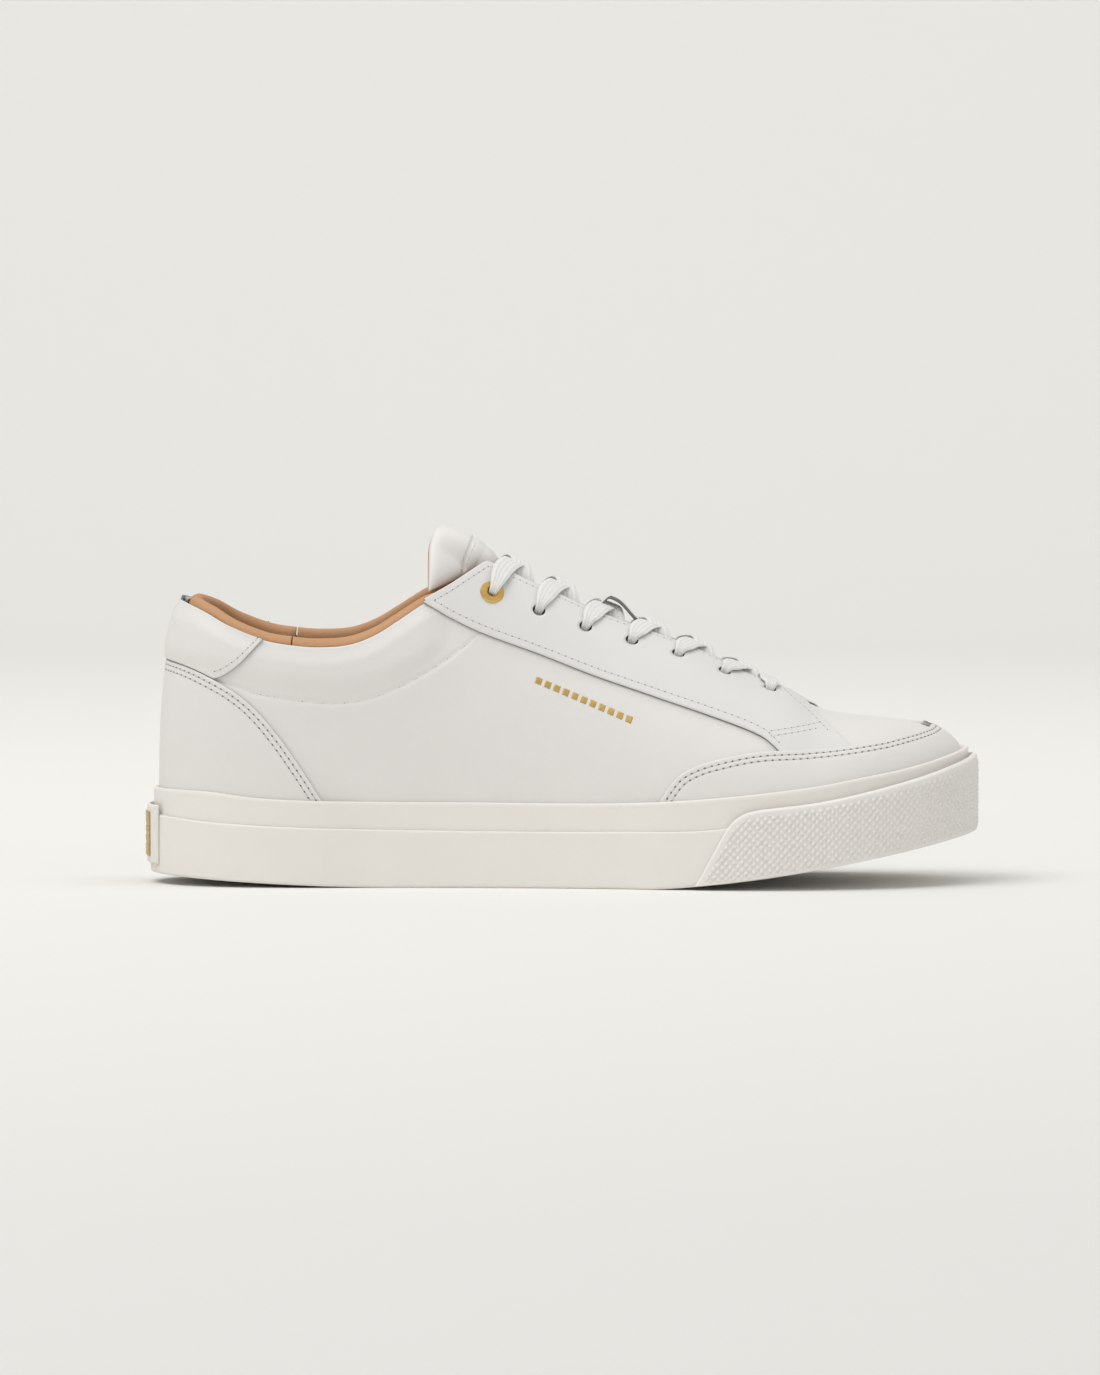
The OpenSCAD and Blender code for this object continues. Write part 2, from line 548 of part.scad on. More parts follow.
// Facings
FACING_FRONT = [[60, 90], [79, 69.5], [84, 63], [96, 51]];
function facing_low_q(t) = max(edge_q(t, FACING_EDGE), mudguard_q(t) + 0.8);
FACING_TURN = 64;
function facing_high_q(t, lift, y) = min(facing_top_q(t, lift, y),
    base_x(t) < real_x(FACING_TURN) ? 90 : edge_q(t, FACING_FRONT));
BACKER_DROP = 2.4;
module facing(side, x0, x1, margin, inner, outer, r) {
    difference() {
        sheet(between(side, x0, x1), function (t) facing_low_q(t) + margin,
            function (t) max(facing_high_q(t, 1 - BACKER_DROP * margin, throat_gap / 2 + margin),
                facing_low_q(t) + margin + 1.5),
            inner, flat(outer));
        hole_cuts(side, r);
    }
}
VAMP_CLEAR = 0.25;
module eyestay(side) {
    color(GREYER) facing(side, real_x(-48.6), real_x(91), 0,
        function (t, q) overlay_in + (base_x(t) > real_x(74) ? VAMP_CLEAR : 0), overlay_out, hole_r);
}
module eyestay_lateral() { eyestay(LATERAL); }
module eyestay_medial() { eyestay(MEDIAL); }
BACKER_MARGIN = 1.2;
module eyestay_backer(side) {
    color(BOARD) facing(side, real_x(-29), real_x(77), BACKER_MARGIN, flat(backing_in), backing_out,
        hole_r + 0.2);
}
module eyestay_backer_lateral() { eyestay_backer(LATERAL); }
module eyestay_backer_medial() { eyestay_backer(MEDIAL); }

// Eyelets in the two top holes: a flange and barrel from outside, a washer behind the lining
barrel_r = hole_r - 0.1;
module top_eyelet(side) {
    color(GOLD) at_hole(hole_count - 1, side) rotate_extrude($fn = 48) polygon([
        [barrel_r - eyelet_t, lining_in - 0.6], [barrel_r, lining_in - 0.6], [barrel_r,
            overlay_out + 0.1],
        [flange_r, overlay_out + 0.15], [flange_r - 0.4, overlay_out + eyelet_t + 0.1],
        [barrel_r, overlay_out + eyelet_t + 0.35], [barrel_r - eyelet_t, overlay_out + eyelet_t]]);
}
module top_eyelet_lateral() { top_eyelet(LATERAL); }
module top_eyelet_medial() { top_eyelet(MEDIAL); }
WASHER_GAP = 0.25;
module eyelet_washer(side) {
    color(GOLD) at_hole(hole_count - 1, side) translate([0, 0,
        lining_in - WASHER_GAP - eyelet_t]) difference() {
        cylinder(r = flange_r - 0.5, h = eyelet_t, $fn = 48);
        translate([0, 0, -1]) cylinder(r = barrel_r + 0.05, h = eyelet_t + 2, $fn = 48);
    }
}
module eyelet_washer_lateral() { eyelet_washer(LATERAL); }
module eyelet_washer_medial() { eyelet_washer(MEDIAL); }

// Tongue: the laced part is held, and the top end bends
bend_x = real_x(-29);
TONGUE_HALF = [[-48, 27], [-20, 26], [30, 23], [77, 19]];
function tongue_side_q(t) = throat_q(t, at(TONGUE_HALF, base_x(t)));
tongue_front = station(real_x(77.5), 1);
tongue_bend = station(bend_x, 1);
tongue_end = station(real_x(-46.5), 1);
module tongue_layer(outer, thick) {
    sheet(stations(tongue_bend, tongue_front), function (t) tongue_side_q(t),
        function (t) 180 - tongue_side_q(-t),
        function (t, q) tongue_face(q) - outer - thick, function (t, q) tongue_face(q) - outer);
}
TOP_LIFT = 4.5;
function top_lift(t) = TOP_LIFT * min(max((tongue_bend - t) / (tongue_bend - tongue_end), 0), 1);
function flap_q(t) = max(collar_q(t, 4), tongue_side_q(t));
module flap_layer(outer, thick) {
    sheet(stations(tongue_end, station(bend_x - bend_gap, 1)), function (t) flap_q(t),
        function (t) 180 - flap_q(-t),
        function (t, q) tongue_face(q) + top_lift(t) - outer - thick, function (t,
            q) tongue_face(q) + top_lift(t) - outer);
}
foam_under = leather_t + layer_gap;
lining_under = foam_under + tongue_foam_t + layer_gap;
module tongue_leather() { color(WHITE) tongue_layer(0, leather_t); }
module tongue_foam() { color(FOAM) tongue_layer(foam_under, tongue_foam_t); }
module tongue_lining() { color(TAN) tongue_layer(lining_under, lining_t); }
module tongue_top_leather() { color(WHITE) flap_layer(0, leather_t); }
module tongue_top_foam() { color(FOAM) flap_layer(foam_under, tongue_foam_t); }
module tongue_top_lining() { color(TAN) flap_layer(lining_under, lining_t); }

// Strap on the tongue that the laces pass under
KEEPER_BACK = 3.5;
KEEPER_FRONT = 30;
KEEPER_FOOT = 4;
KEEPER_RISE = 7.3;
KEEPER_WIDTH = 11;
keeper_t = 1.2;
function keeper_point(r, d) = let (t = station(real_x(r), 1), p = skin(t, 90, d)) [p[0], p[2]];
module lace_keeper() {
    base = tongue_out + tongue_crown + 0.1;
    line = [[KEEPER_BACK, 0], [KEEPER_BACK + KEEPER_FOOT, 0], [KEEPER_BACK + KEEPER_FOOT + 2,
        KEEPER_RISE],
        [KEEPER_FRONT - KEEPER_FOOT - 2, KEEPER_RISE], [KEEPER_FRONT - KEEPER_FOOT, 0], [KEEPER_FRONT,
            0]];
    n = len(line);
    y = centre_y(real_x(20));
    color(GREYER) translate([0, y + KEEPER_WIDTH / 2, 0]) rotate([90, 0,
        0]) linear_extrude(KEEPER_WIDTH) polygon(concat(
        [for (i = [0:n - 1]) keeper_point(line[i][0] - (i > 0 && i < n / 2 ? keeper_t : i < n / 2 ? 0 :
            i < n - 1 ? -keeper_t : 0), base + line[i][1] + keeper_t)],
        [for (i = [n - 1:-1:0]) keeper_point(line[i][0], base + line[i][1])]));
}

// Lace: straight across outside at the front holes, then each half comes up through the throat gap,
// crosses over the facing on the other side and goes down into the next hole. Both ends are tucked
// inside.
// A row of the route is [point, direction of the lace's width, how far it is spread flat]
OVER_CLEAR = 0.15;
lace_over = overlay_out + OVER_CLEAR + lace_t / 2;
IN_HOLE = -0.8;
CROSS_RISE = 0.8;
CENTRE_RISE = 1.9;
EYELET_RISE = 0.9;
FRONT_RISE = [0.4, 0.25];
// Rows [share of the way across, distance from the leather's face, how far it is spread flat]
function strand_rows(side, lift, front) = [[0, lace_under, 0.2], [0.12, lace_under + front, 1],
    [0.21, lace_under + 0.3 + 1.4 * front, 1], [0.31, -1.3, 1], [0.4, 0.8 + side * 0.4, 1],
    [0.5, CENTRE_RISE + side * CROSS_RISE, 1],
    [0.62, 2.2 + side * 0.3, 1], [0.78, lace_over + 0.1, 1], [0.89, lace_over + 0.2 + lift, 0.8],
    [lift > 0 ? 0.99 : 0.965, lace_over + 0.1 + lift, lift > 0 ? 0.1 : 0.2], [1, IN_HOLE, 0]];
BAR_ROWS = [[0, 0, 0], [0.04, 1.1, 0.3], [0.14, 1, 1], [0.3, 0.9, 1], [0.5, 0.8, 1]];
// Rows [distance forward of the top hole, q, distance below lace_under, how far it is spread flat]
TUCK_ROWS = [[0, 64, 0.3, 0], [1, 56, 0.4, 0.6], [3, 49, 0.35, 1], [8, 42, 0.35, 1], [16, 36, 0.5, 1],
    [25, 32, 1.2, 0.8], [32, 31, 2, 0.3]];
TIP_Q = 30;
TIP_DROP = 2;
TURN_LENGTH = 16;
HOLE_W = 2.7;
HOLE_T = 1.6;
function lace_size(flatness) = [mix(HOLE_W, lace_w, flatness), mix(HOLE_T, lace_t, flatness)];
function across_point(x, y, d) = let (t = station(x, y < 0 ? 1 : -1)) skin(t, throat_q(t, abs(y)), d);
function run_at(x, y) = unit(across_point(x + 3, y, 0) - across_point(x - 3, y, 0));
function climb_at(t, q) = unit(skin(t, q + 4, 0) - skin(t, q - 4, 0));
function lace_row(x, y, d, flatness) = [across_point(x, y, d), run_at(x, y), lace_size(flatness)];
function strand(k, side) = let (s = side * (k % 2 == 0 ? 1 : -1))
    [for (r = strand_rows(s, k == hole_count - 2 ? EYELET_RISE : 0, k < 2 ? FRONT_RISE[k] : 0))
        lace_row(mix(hole_x(k), hole_x(k + 1), r[0]), -s * row_gap / 2 * (1 - 2 * r[0]), r[1], r[2])];
function tuck_row(side, r) = let (t = station(top_x + r[0], side),
    q = r[0] == 0 ? hole_q(hole_count - 1, side) : r[1],
    u = min(r[0] / TURN_LENGTH, 1))
    [skin(t, q, lace_under - r[2]), mix(run_at(top_x + r[0], -side * row_gap / 2), climb_at(t, q), u),
        lace_size(r[3])];
function tuck(side) = [for (r = TUCK_ROWS) tuck_row(side, r)];
function half_lace(side) = concat([lace_row(hole_x(0), -side * row_gap / 2, IN_HOLE, 0)],
    [for (k = [0:hole_count - 2]) each strand(k, side)], tuck(side * (hole_count % 2 == 1 ? 1 : -1)));
function bar(side) = [for (r = BAR_ROWS) if (r[0] > 0)
    lace_row(hole_x(0), -side * row_gap / 2 * (1 - 2 * r[0]), r[1] * lace_over, r[2])];
function reversed(v) = [for (i = [len(v) - 1:-1:0]) v[i]];
function lace_route() = let (b = bar(MEDIAL), c = bar(LATERAL)) concat(reversed(half_lace(MEDIAL)), b,
    reversed([for (i = [0:len(c) - 2]) c[i]]), half_lace(LATERAL));
SECTION = [[0.5, 0], [0.4, 0.5], [-0.4, 0.5], [-0.5, 0], [-0.4, -0.5], [0.4, -0.5]];
module lace() {
    route = lace_route();
    n = len(route);
    m = len(SECTION);
    points = [for (i = [0:n - 1]) let (r = route[i], e = unit(route[min(i + 1,
        n - 1)][0] - route[max(i - 1, 0)][0]),
        w = unit(r[1] - (r[1] * e) * e), v = cross(w,
            e)) for (c = SECTION) r[0] + c[0] * r[2][0] * w + c[1] * r[2][1] * v];
    sides = [for (i = [0:n - 2]) for (j = [0:m - 1]) let (a = i * m + j, b = i * m + (j + 1) % m)
        each [[a, b, b + m], [a, b + m, a + m]]];
    color(WHITE) polyhedron(points, concat(sides, [[for (j = [m - 1:-1:0]) j],
        [for (j = [0:m - 1]) (n - 1) * m + j]]));
}
// Tips: round sleeves on the two ends, lying along the lining
module lace_tip(side) {
    last = len(TUCK_ROWS) - 1;
    end = tuck(side)[last][0];
    far = skin(station(top_x + TUCK_ROWS[last][0] + tip_length, side), TIP_Q, lace_under - TIP_DROP);
    z = unit(far - end);
    x = unit(cross(z, [0, 1, 0]));
    y = cross(z, x);
    start = end + 0.15 * z;
    color(WHITE) multmatrix([[x[0], y[0], z[0], start[0]], [x[1], y[1], z[1], start[1]],
        [x[2], y[2], z[2], start[2]], [0, 0, 0, 1]])
        cylinder(r = tip_r, h = tip_length, $fn = 24);
}
module lace_tip_lateral() { lace_tip(LATERAL); }
module lace_tip_medial() { lace_tip(MEDIAL); }

outsole();
midsole();
inner_band();
outer_band();
toe_bumper();
heel_label();
heel_badge();
insole_board();
sockliner();
vamp();
vamp_lining();
toe_puff();
mudguard();
quarter_lateral();
quarter_medial();
heel_cover();
heel_tab();
heel_stiffener();
collar_foam();
heel_lining();
quarter_lining_lateral();
quarter_lining_medial();
eyestay_lateral();
eyestay_medial();
eyestay_backer_lateral();
eyestay_backer_medial();
top_eyelet_lateral();
top_eyelet_medial();
eyelet_washer_lateral();
eyelet_washer_medial();
tongue_leather();
tongue_foam();
tongue_lining();
tongue_top_leather();
tongue_top_foam();
tongue_top_lining();
lace_keeper();
lace();
lace_tip_lateral();
lace_tip_medial();
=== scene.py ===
"""Low court shoe, right foot: the visible pieces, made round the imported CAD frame.

The shape functions work in millimetres in the frame's own axes (+X toe, -Y outer side, +Z up) and
put_mesh turns their points into metres. The leather follows one "last": a closed surface with two
numbers for a place on it. t runs round the outline in degrees (0 the back of the heel, 180 the tip of
the toe, positive on the outer side and negative on the inner side) and q runs up the side, from -10 at
the sole through 0 where the side starts to curve in, to 90 on the ridge over the foot.
"""
import math

import bpy
import numpy as np
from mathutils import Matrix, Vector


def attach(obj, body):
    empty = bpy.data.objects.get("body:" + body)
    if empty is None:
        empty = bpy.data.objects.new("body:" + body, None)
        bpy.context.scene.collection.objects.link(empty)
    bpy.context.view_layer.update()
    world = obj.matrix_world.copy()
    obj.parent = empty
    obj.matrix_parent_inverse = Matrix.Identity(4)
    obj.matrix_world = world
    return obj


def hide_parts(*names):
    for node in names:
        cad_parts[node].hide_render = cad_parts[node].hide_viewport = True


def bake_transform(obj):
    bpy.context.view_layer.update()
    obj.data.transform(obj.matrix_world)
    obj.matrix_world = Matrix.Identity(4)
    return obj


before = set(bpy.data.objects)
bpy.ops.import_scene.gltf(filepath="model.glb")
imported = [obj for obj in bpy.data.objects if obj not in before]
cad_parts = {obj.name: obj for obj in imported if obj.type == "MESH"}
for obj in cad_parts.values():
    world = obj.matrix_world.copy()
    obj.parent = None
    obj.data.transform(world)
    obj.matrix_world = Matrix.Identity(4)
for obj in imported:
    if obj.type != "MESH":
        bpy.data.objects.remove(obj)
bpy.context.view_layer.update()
MM = 0.001

# ---------------------------------------------------------------- sizes of the shoe, as in the CAD model
HALF_LENGTH = 142.0
MID_X = -0.3
LENGTH_SCALE = HALF_LENGTH / 142.3
WIDTH_SCALE = 45.45 / 46.94
SOLE_HEIGHT = 30.0
OUTER_BAND_HEIGHT = 20.0
BOARD_HEIGHT = 11.0
TOE_SPRING = 18.5
HEEL_SPRING = 4.2
INNER_BAND_T = 1.5
OUTER_BAND_T = 1.2
BUMPER_T = 2.6
LABEL_T = 1.0
OVERLAY_T = 1.2
LEATHER_T = 1.4
GAP = 0.15
FOLD = OVERLAY_T + GAP
INNER_FACE = GAP
OUTER_FACE = INNER_FACE + INNER_BAND_T + GAP
TRIM_FACE = OUTER_FACE + OUTER_BAND_T + GAP
HEEL_HEIGHT = 101.0
COLLAR_HEIGHT = 84.5
TONGUE_HEIGHT = 123.7
VAMP_HEIGHT = 57.0
MEDIAL_RISE = 1.5
COLLAR_ROLL = 3.2
COLLAR_FOAM = 4.8
LINING_IN = -4.0
THROAT_GAP = 21.0
ROW_GAP = 38.0
HOLES = 7
HOLE_FRONT = 74.5
HOLE_PITCH = 16.6
HOLE_R = 2.3
LACE_W = 7.4
LACE_T = 1.2
TONGUE_OUT = -6.4
TONGUE_CROWN = 3.2
BEND_X = -29.0

LATERAL_WIDTHS = [[-145, 33], [-110, 34], [-70, 33.2], [-30, 34], [10, 39.5], [45, 46.2], [72, 50.4],
                  [105, 52], [145, 51]]
MEDIAL_WIDTHS = [[-145, 33], [-110, 33], [-70, 31], [-30, 31.5], [10, 37], [45, 44], [72, 45.4],
                 [105, 43], [145, 41]]
CENTRE_LINE = [[-145, 0.1], [-60, 0.6], [20, 1.6], [80, 2.6], [145, 6.1]]
HEEL_POWER, TOE_POWER = 7.6, 4.6
HEEL_POLE, TOE_POLE, POLE_BLEND = -74.0, 112.0, 18.0
SECTION_POWERS = [[-145, 3.1], [-80, 3], [-45, 2.4], [-10, 2.15], [50, 2.1], [85, 2.35], [112, 2.9],
                  [145, 3.2]]
INNER_BAND_RISE = [[-145, 4], [-125, 3.6], [-108, 1.6], [-85, 0.5], [-30, 0], [20, 0.1], [52, 2], [87, 6],
                   [105, 9.2], [122, 12.4], [138, 16.6], [145, 19]]
OUTER_BAND_RISE = [[-145, 5.2], [-120, 2.7], [-85, 1], [-30, 0], [20, 0.2], [57, 1.6], [70, 6.5], [92, 10.5],
                   [120, 17], [145, 25.5]]
RIDGE = [[-145, 9], [-80, 9], [-58, 6], [-39, 0], [-22, -9], [0, -19.7], [12, -25.6], [30, -33], [44, -38.6],
         [54, -43.5], [66, -49.6], [80, -55.7], [88, -60.6]]
VAMP_RIDGE = [[88, 6.4], [92.5, 4.6], [98, 3.2], [112, 1.4], [130, 0], [145, -2]]
BAND_GRIP = 8.5
COLLAR_SHARES = [[-145, 1], [-136, 0.95], [-126, 0.72], [-117, 0.42], [-105, 0.145], [-95, 0.04], [-86, 0],
                 [-75, 0.05], [-66, 0.25], [-58, 0.55], [-48, 0.95], [-40, 1.22], [-30, 1.6], [-20, 1.95]]
PAD_EDGE = [[-145, 76], [-120, 72], [-107, 68], [-91, 65.5], [-78, 64.8], [-66, 67], [-51, 73.7], [-36, 83.5],
            [-28, 90.5]]
HEEL_COVER_EDGE = [[-145, 80], [-135, 78], [-126, 74.5], [-115, 68.4], [-107, 61.6], [-99, 52], [-91, 40.5],
                   [-84, 29.5]]
FACING_EDGE = [[-52, 102], [-40, 95.2], [-28, 89.5], [-8, 82.2], [12, 74.4], [32, 67.6], [52, 60.8],
               [70, 53.8], [76, 49], [79, 45.5]]
MUDGUARD_EDGE = [[34, 30], [40, 38.5], [46, 42.4], [54, 45], [69, 47.8], [86, 48.4], [96, 48.9],
                 [112.4, 50.9], [120.7, 52.4], [128.9, 54], [132.6, 55], [140, 57], [150, 60]]
TOE_RISE, TOE_RISE_X, TOE_END = 11.0, 122.0, 142.3


# ---------------------------------------------------------------- curves and the last
def curve(table, x):
    """Smooth curve through the table's points: on each stretch a cubic whose end slopes are those of the
    chord between the neighbouring points."""
    p = np.asarray(table, float)
    px, py = p[:, 0], p[:, 1]
    n = len(px)
    lo = np.maximum(np.arange(n) - 1, 0)
    hi = np.minimum(np.arange(n) + 1, n - 1)
    m = (py[hi] - py[lo]) / (px[hi] - px[lo])
    c = np.clip(x, px[0], px[-1])
    i = np.clip(np.searchsorted(px, c, side="right") - 1, 0, n - 2)
    w = px[i + 1] - px[i]
    u = (c - px[i]) / w
    v = 1 - u
    return (py[i] * (1 + 2 * u) * v * v + py[i + 1] * (3 - 2 * u) * u * u
            + w * u * v * (m[i] * v - m[i + 1] * u))


def ref(x):
    """Reference X of the tables for a place x."""
    return (x - MID_X) / LENGTH_SCALE


def real(r):
    """Place x for a reference X of the tables."""
    return MID_X + r * LENGTH_SCALE


def at(table, x):
    return curve(table, ref(x))


def mix(a, b, u):
    return a + (b - a) * u


def smooth(u):
    """0 below 0, 1 above 1 and an S curve between."""
    u = np.clip(u, 0, 1)
    return u * u * (3 - 2 * u)


def unit(v):
    return v / np.maximum(np.linalg.norm(v, axis=-1, keepdims=True), 1e-12)


def bottom_z(x):
    """Underside of the sole: flat at the waist and ball, with a power curve up at the toe and the heel."""
    r = ref(x)
    return (TOE_SPRING * np.maximum(r - 30, 0) ** 1.5 / 113 ** 1.5
            + HEEL_SPRING * np.maximum(-60 - r, 0) ** 1.6 / 85 ** 1.6)


def feather_z(x):
    return bottom_z(x) + BOARD_HEIGHT


def inner_band_z(x):
    return SOLE_HEIGHT + at(INNER_BAND_RISE, x)


def outer_band_z(x):
    return OUTER_BAND_HEIGHT + at(OUTER_BAND_RISE, x)


def shoulder_z(x):
    return inner_band_z(x) - BAND_GRIP


def ridge_z(x):
    r = ref(x)
    low = VAMP_HEIGHT + 6.4
    instep = mix(low, TONGUE_HEIGHT, (curve(RIDGE, r) + 60.6) / 60.6)
    return np.where(r < 88, instep, VAMP_HEIGHT + curve(VAMP_RIDGE, r))


def wrap(t):
    return (np.asarray(t, float) + 180) % 360 - 180


def base_x(t):
    return MID_X - HALF_LENGTH * np.cos(np.radians(t))


def centre_y(x):
    return WIDTH_SCALE * at(CENTRE_LINE, x)


def base_y(t):
    """Outline: half widths either side of the centre line, pulled in at both ends by a root of
    1 - |cos t|^power."""
    w = wrap(t)
    x = base_x(t)
    u = np.abs(np.cos(np.radians(t)))
    power = np.where(np.cos(np.radians(t)) > 0, HEEL_POWER, TOE_POWER)
    end = np.sqrt(np.maximum(1 - u ** power, 0))
    half = np.where(w < 0, at(MEDIAL_WIDTHS, x), -at(LATERAL_WIDTHS, x))
    return centre_y(x) + half * WIDTH_SCALE * end


def target_x(x):
    """Place on the ridge that a station runs up to: its own x, held smoothly between the two poles."""
    r = ref(x)
    a = (r + HEEL_POLE + np.sqrt((r - HEEL_POLE) ** 2 + POLE_BLEND ** 2)) / 2
    b = (a + TOE_POLE - np.sqrt((a - TOE_POLE) ** 2 + POLE_BLEND ** 2)) / 2
    return MID_X + LENGTH_SCALE * b


def last_point(t, q):
    """Point of the last: a section of powers n, cos(q)^(2/n) inwards and sin(q)^(2/n) upwards, standing on
    an upright wall below q = 0. Past q = 90 it runs down the other side."""
    t = np.asarray(t, float)
    q = np.asarray(q, float)
    t, q = np.broadcast_arrays(t, q)
    t = np.where(q > 90, -t, t)
    q = np.where(q > 90, 180 - q, q)
    bx, by = base_x(t), base_y(t)
    n = at(SECTION_POWERS, bx)
    p = np.radians(np.maximum(q, 0))
    c = np.maximum(np.cos(p), 0) ** (2 / n)
    f = np.maximum(np.sin(p), 0) ** (2 / n)
    tx = target_x(bx)
    ty = centre_y(tx)
    x = mix(tx, bx, c)
    z = np.where(q < 0, mix(shoulder_z(x), feather_z(x), -q / 10), mix(shoulder_z(x), ridge_z(x), f))
    return np.stack([x, mix(ty, by, c), z], axis=-1)


def last_normal(t, q):
    """Outward direction: the cross product of small steps along t and along q; on the ridge it is square to
    the ridge line, so that both sides agree."""
    t = np.asarray(t, float)
    q = np.asarray(q, float)
    t, q = np.broadcast_arrays(t, q)
    t = np.where(q > 90, -t, t)
    q = np.where(q > 90, 180 - q, q)
    p = np.clip(q, 2, 88)
    s = 0.4
    side = unit(np.cross(last_point(t + s, p) - last_point(t - s, p),
                         last_point(t, np.minimum(p + 1, 89.5)) - last_point(t, p - 1)))
    x = last_point(t, np.full_like(q, 90.0))[..., 0]
    dz = (ridge_z(x + 2) - ridge_z(x - 2)) / 4
    top = unit(np.stack([-dz, np.zeros_like(dz), np.ones_like(dz)], axis=-1))
    u = smooth((q - 80) / 10)[..., None]
    return unit(mix(side, top, u))


def skin(t, q, d):
    """Point at distance d outside the last."""
    return last_point(t, q) + np.asarray(d, float)[..., None] * last_normal(t, q)


def station(x, side=1):
    return side * np.degrees(np.arccos(np.clip(-(np.asarray(x, float) - MID_X) / HALF_LENGTH, -1, 1)))


def q_where(t, height):
    """q at which station t reaches height(x), found by halving the interval."""
    t = np.asarray(t, float)
    lo = np.full(t.shape, -10.0)
    hi = np.full(t.shape, 90.0)
    for _ in range(34):
        m = (lo + hi) / 2
        p = last_point(t, m)
        below = p[..., 2] < height(p[..., 0])
        lo = np.where(below, m, lo)
        hi = np.where(below, hi, m)
    return (lo + hi) / 2


def q_across(t, y):
    """q at a distance y across the shoe from its centre line."""
    bx = base_x(t)
    n = at(SECTION_POWERS, bx)
    w = np.abs(base_y(t) - centre_y(target_x(bx)))
    return np.degrees(np.arccos(np.clip(y / w, 0, 1) ** (n / 2)))


def rise(t):
    return np.where(wrap(t) < 0, MEDIAL_RISE, 0.0)


def collar_z(x):
    return COLLAR_HEIGHT + (HEEL_HEIGHT - COLLAR_HEIGHT) * at(COLLAR_SHARES, x)


def q_edge(t, table, lift=0.0):
    r = rise(t)
    return q_where(t, lambda x: at(table, x) + r + lift)


def q_collar(t, lift=0.0):
    r = rise(t)
    return q_where(t, lambda x: collar_z(x) + r + lift)


def q_throat(t, y):
    return np.where(base_x(t) < real(-60), 90.0, q_across(t, y))


def q_guard(t):
    """Upper edge of the mudguard: a height along the sides and over the toes, which climbs higher on the
    inner side by a bell in q, TOE_RISE exp(-((x - TOE_RISE_X) / 15)^2)."""
    r = ref(base_x(t))
    inner = (np.mod(t, 360) > 180) * smooth((TOE_END - r) / 12)
    return q_edge(t, MUDGUARD_EDGE) + TOE_RISE * inner * np.exp(-((r - TOE_RISE_X) / 15) ** 2)


def pad_share(p, t):
    """0 below the collar's pad line, 1 well above it, and 0 again forward of the collar."""
    up = smooth((p[..., 2] - at(PAD_EDGE, p[..., 0]) - rise(t)) / 10)
    return up * smooth((real(-38) - p[..., 0]) / 12)


# ---------------------------------------------------------------- meshes from grids
def put_mesh(name, points, faces, material, uv=None, second=None):
    """Mesh object from points in millimetres and a face array of three or four columns, or a list of those.
    second is (material, face mask) for faces of another finish."""
    groups = faces if isinstance(faces, list) else [faces]
    groups = [g for g in groups if len(g)]
    mesh = bpy.data.meshes.new(name)
    mesh.vertices.add(len(points))
    mesh.vertices.foreach_set("co", (np.asarray(points) * MM).astype(np.float32).ravel())
    loops = np.concatenate([g.ravel() for g in groups]).astype(np.int32)
    sizes = np.concatenate([np.full(len(g), g.shape[1]) for g in groups])
    starts = np.concatenate([[0], np.cumsum(sizes)[:-1]]).astype(np.int32)
    mesh.loops.add(len(loops))
    mesh.loops.foreach_set("vertex_index", loops)
    mesh.polygons.add(len(sizes))
    mesh.polygons.foreach_set("loop_start", starts)
    mesh.update(calc_edges=True)
    mesh.polygons.foreach_set("use_smooth", np.full(len(sizes), True))
    if uv is not None:
        layer = mesh.uv_layers.new(name="cut")
        layer.data.foreach_set("uv", (np.asarray(uv)[loops] * MM).astype(np.float32).ravel())
    mesh.materials.append(material)
    if second is not None:
        mesh.materials.append(second[0])
        mesh.polygons.foreach_set("material_index", second[1].astype(np.int32))
    mesh.validate()
    piece = bpy.data.objects.new(name, mesh)
    bpy.context.collection.objects.link(piece)
    return piece


def grid_quads(rows, cols, start=0, around=False, flip=False):
    """Faces of a rows x cols grid numbered row by row; around joins the last column to the first."""
    r = np.arange(rows - 1)[:, None]
    c = np.arange(cols if around else cols - 1)[None, :]
    n = (c + 1) % cols
    q = np.stack([r * cols + c, r * cols + n, (r + 1) * cols + n, (r + 1) * cols + c], axis=-1).reshape(-1, 4)
    return (q[:, ::-1] if flip else q) + start


def lengths(p):
    """Running length along the second-last axis of an array of points."""
    d = np.linalg.norm(np.diff(p, axis=-2), axis=-1)
    return np.concatenate([np.zeros(d.shape[:-1] + (1,)), np.cumsum(d, axis=-1)], axis=-1)


def pierce(outer, inner, faces, holes):
    """Opens round holes in a grid solid: drops the faces of both sides that reach into a hole, moves the
    points left round it onto its circle and joins the two sides by a wall."""
    rows, cols = outer.shape[:2]
    total = rows * cols
    points = np.concatenate([outer.reshape(-1, 3), inner.reshape(-1, 3)])
    front, back, rest = faces
    walls = []
    for centre, x, y, z, r in holes:
        local = points - centre
        lx, ly, lz = local @ x, local @ y, local @ z
        reach = np.hypot(lx, ly)
        inside = (reach[:total] < r) & (np.abs(lz[:total]) < 9)
        gone = inside[front].any(axis=1)
        if not gone.any():
            continue
        lost, front, back = front[gone], front[~gone], back[~inside[back - total].any(axis=1)]
        ring = np.unique(lost)
        ring = ring[~inside[ring]]
        for side in (ring, ring + total):
            k = (r / reach[side] - 1)[:, None]
            points[side] += k * (lx[side, None] * x + ly[side, None] * y)
        edges = np.concatenate([lost[:, [i, (i + 1) % 4]] for i in range(4)])
        key = {tuple(e) for e in edges}
        rim = np.array([e for e in edges if (e[1], e[0]) not in key])
        a, b = rim[:, 0], rim[:, 1]
        walls.append(np.stack([a, b, b + total, a + total], axis=-1))
    return points, [front, back, np.concatenate([rest] + walls)]


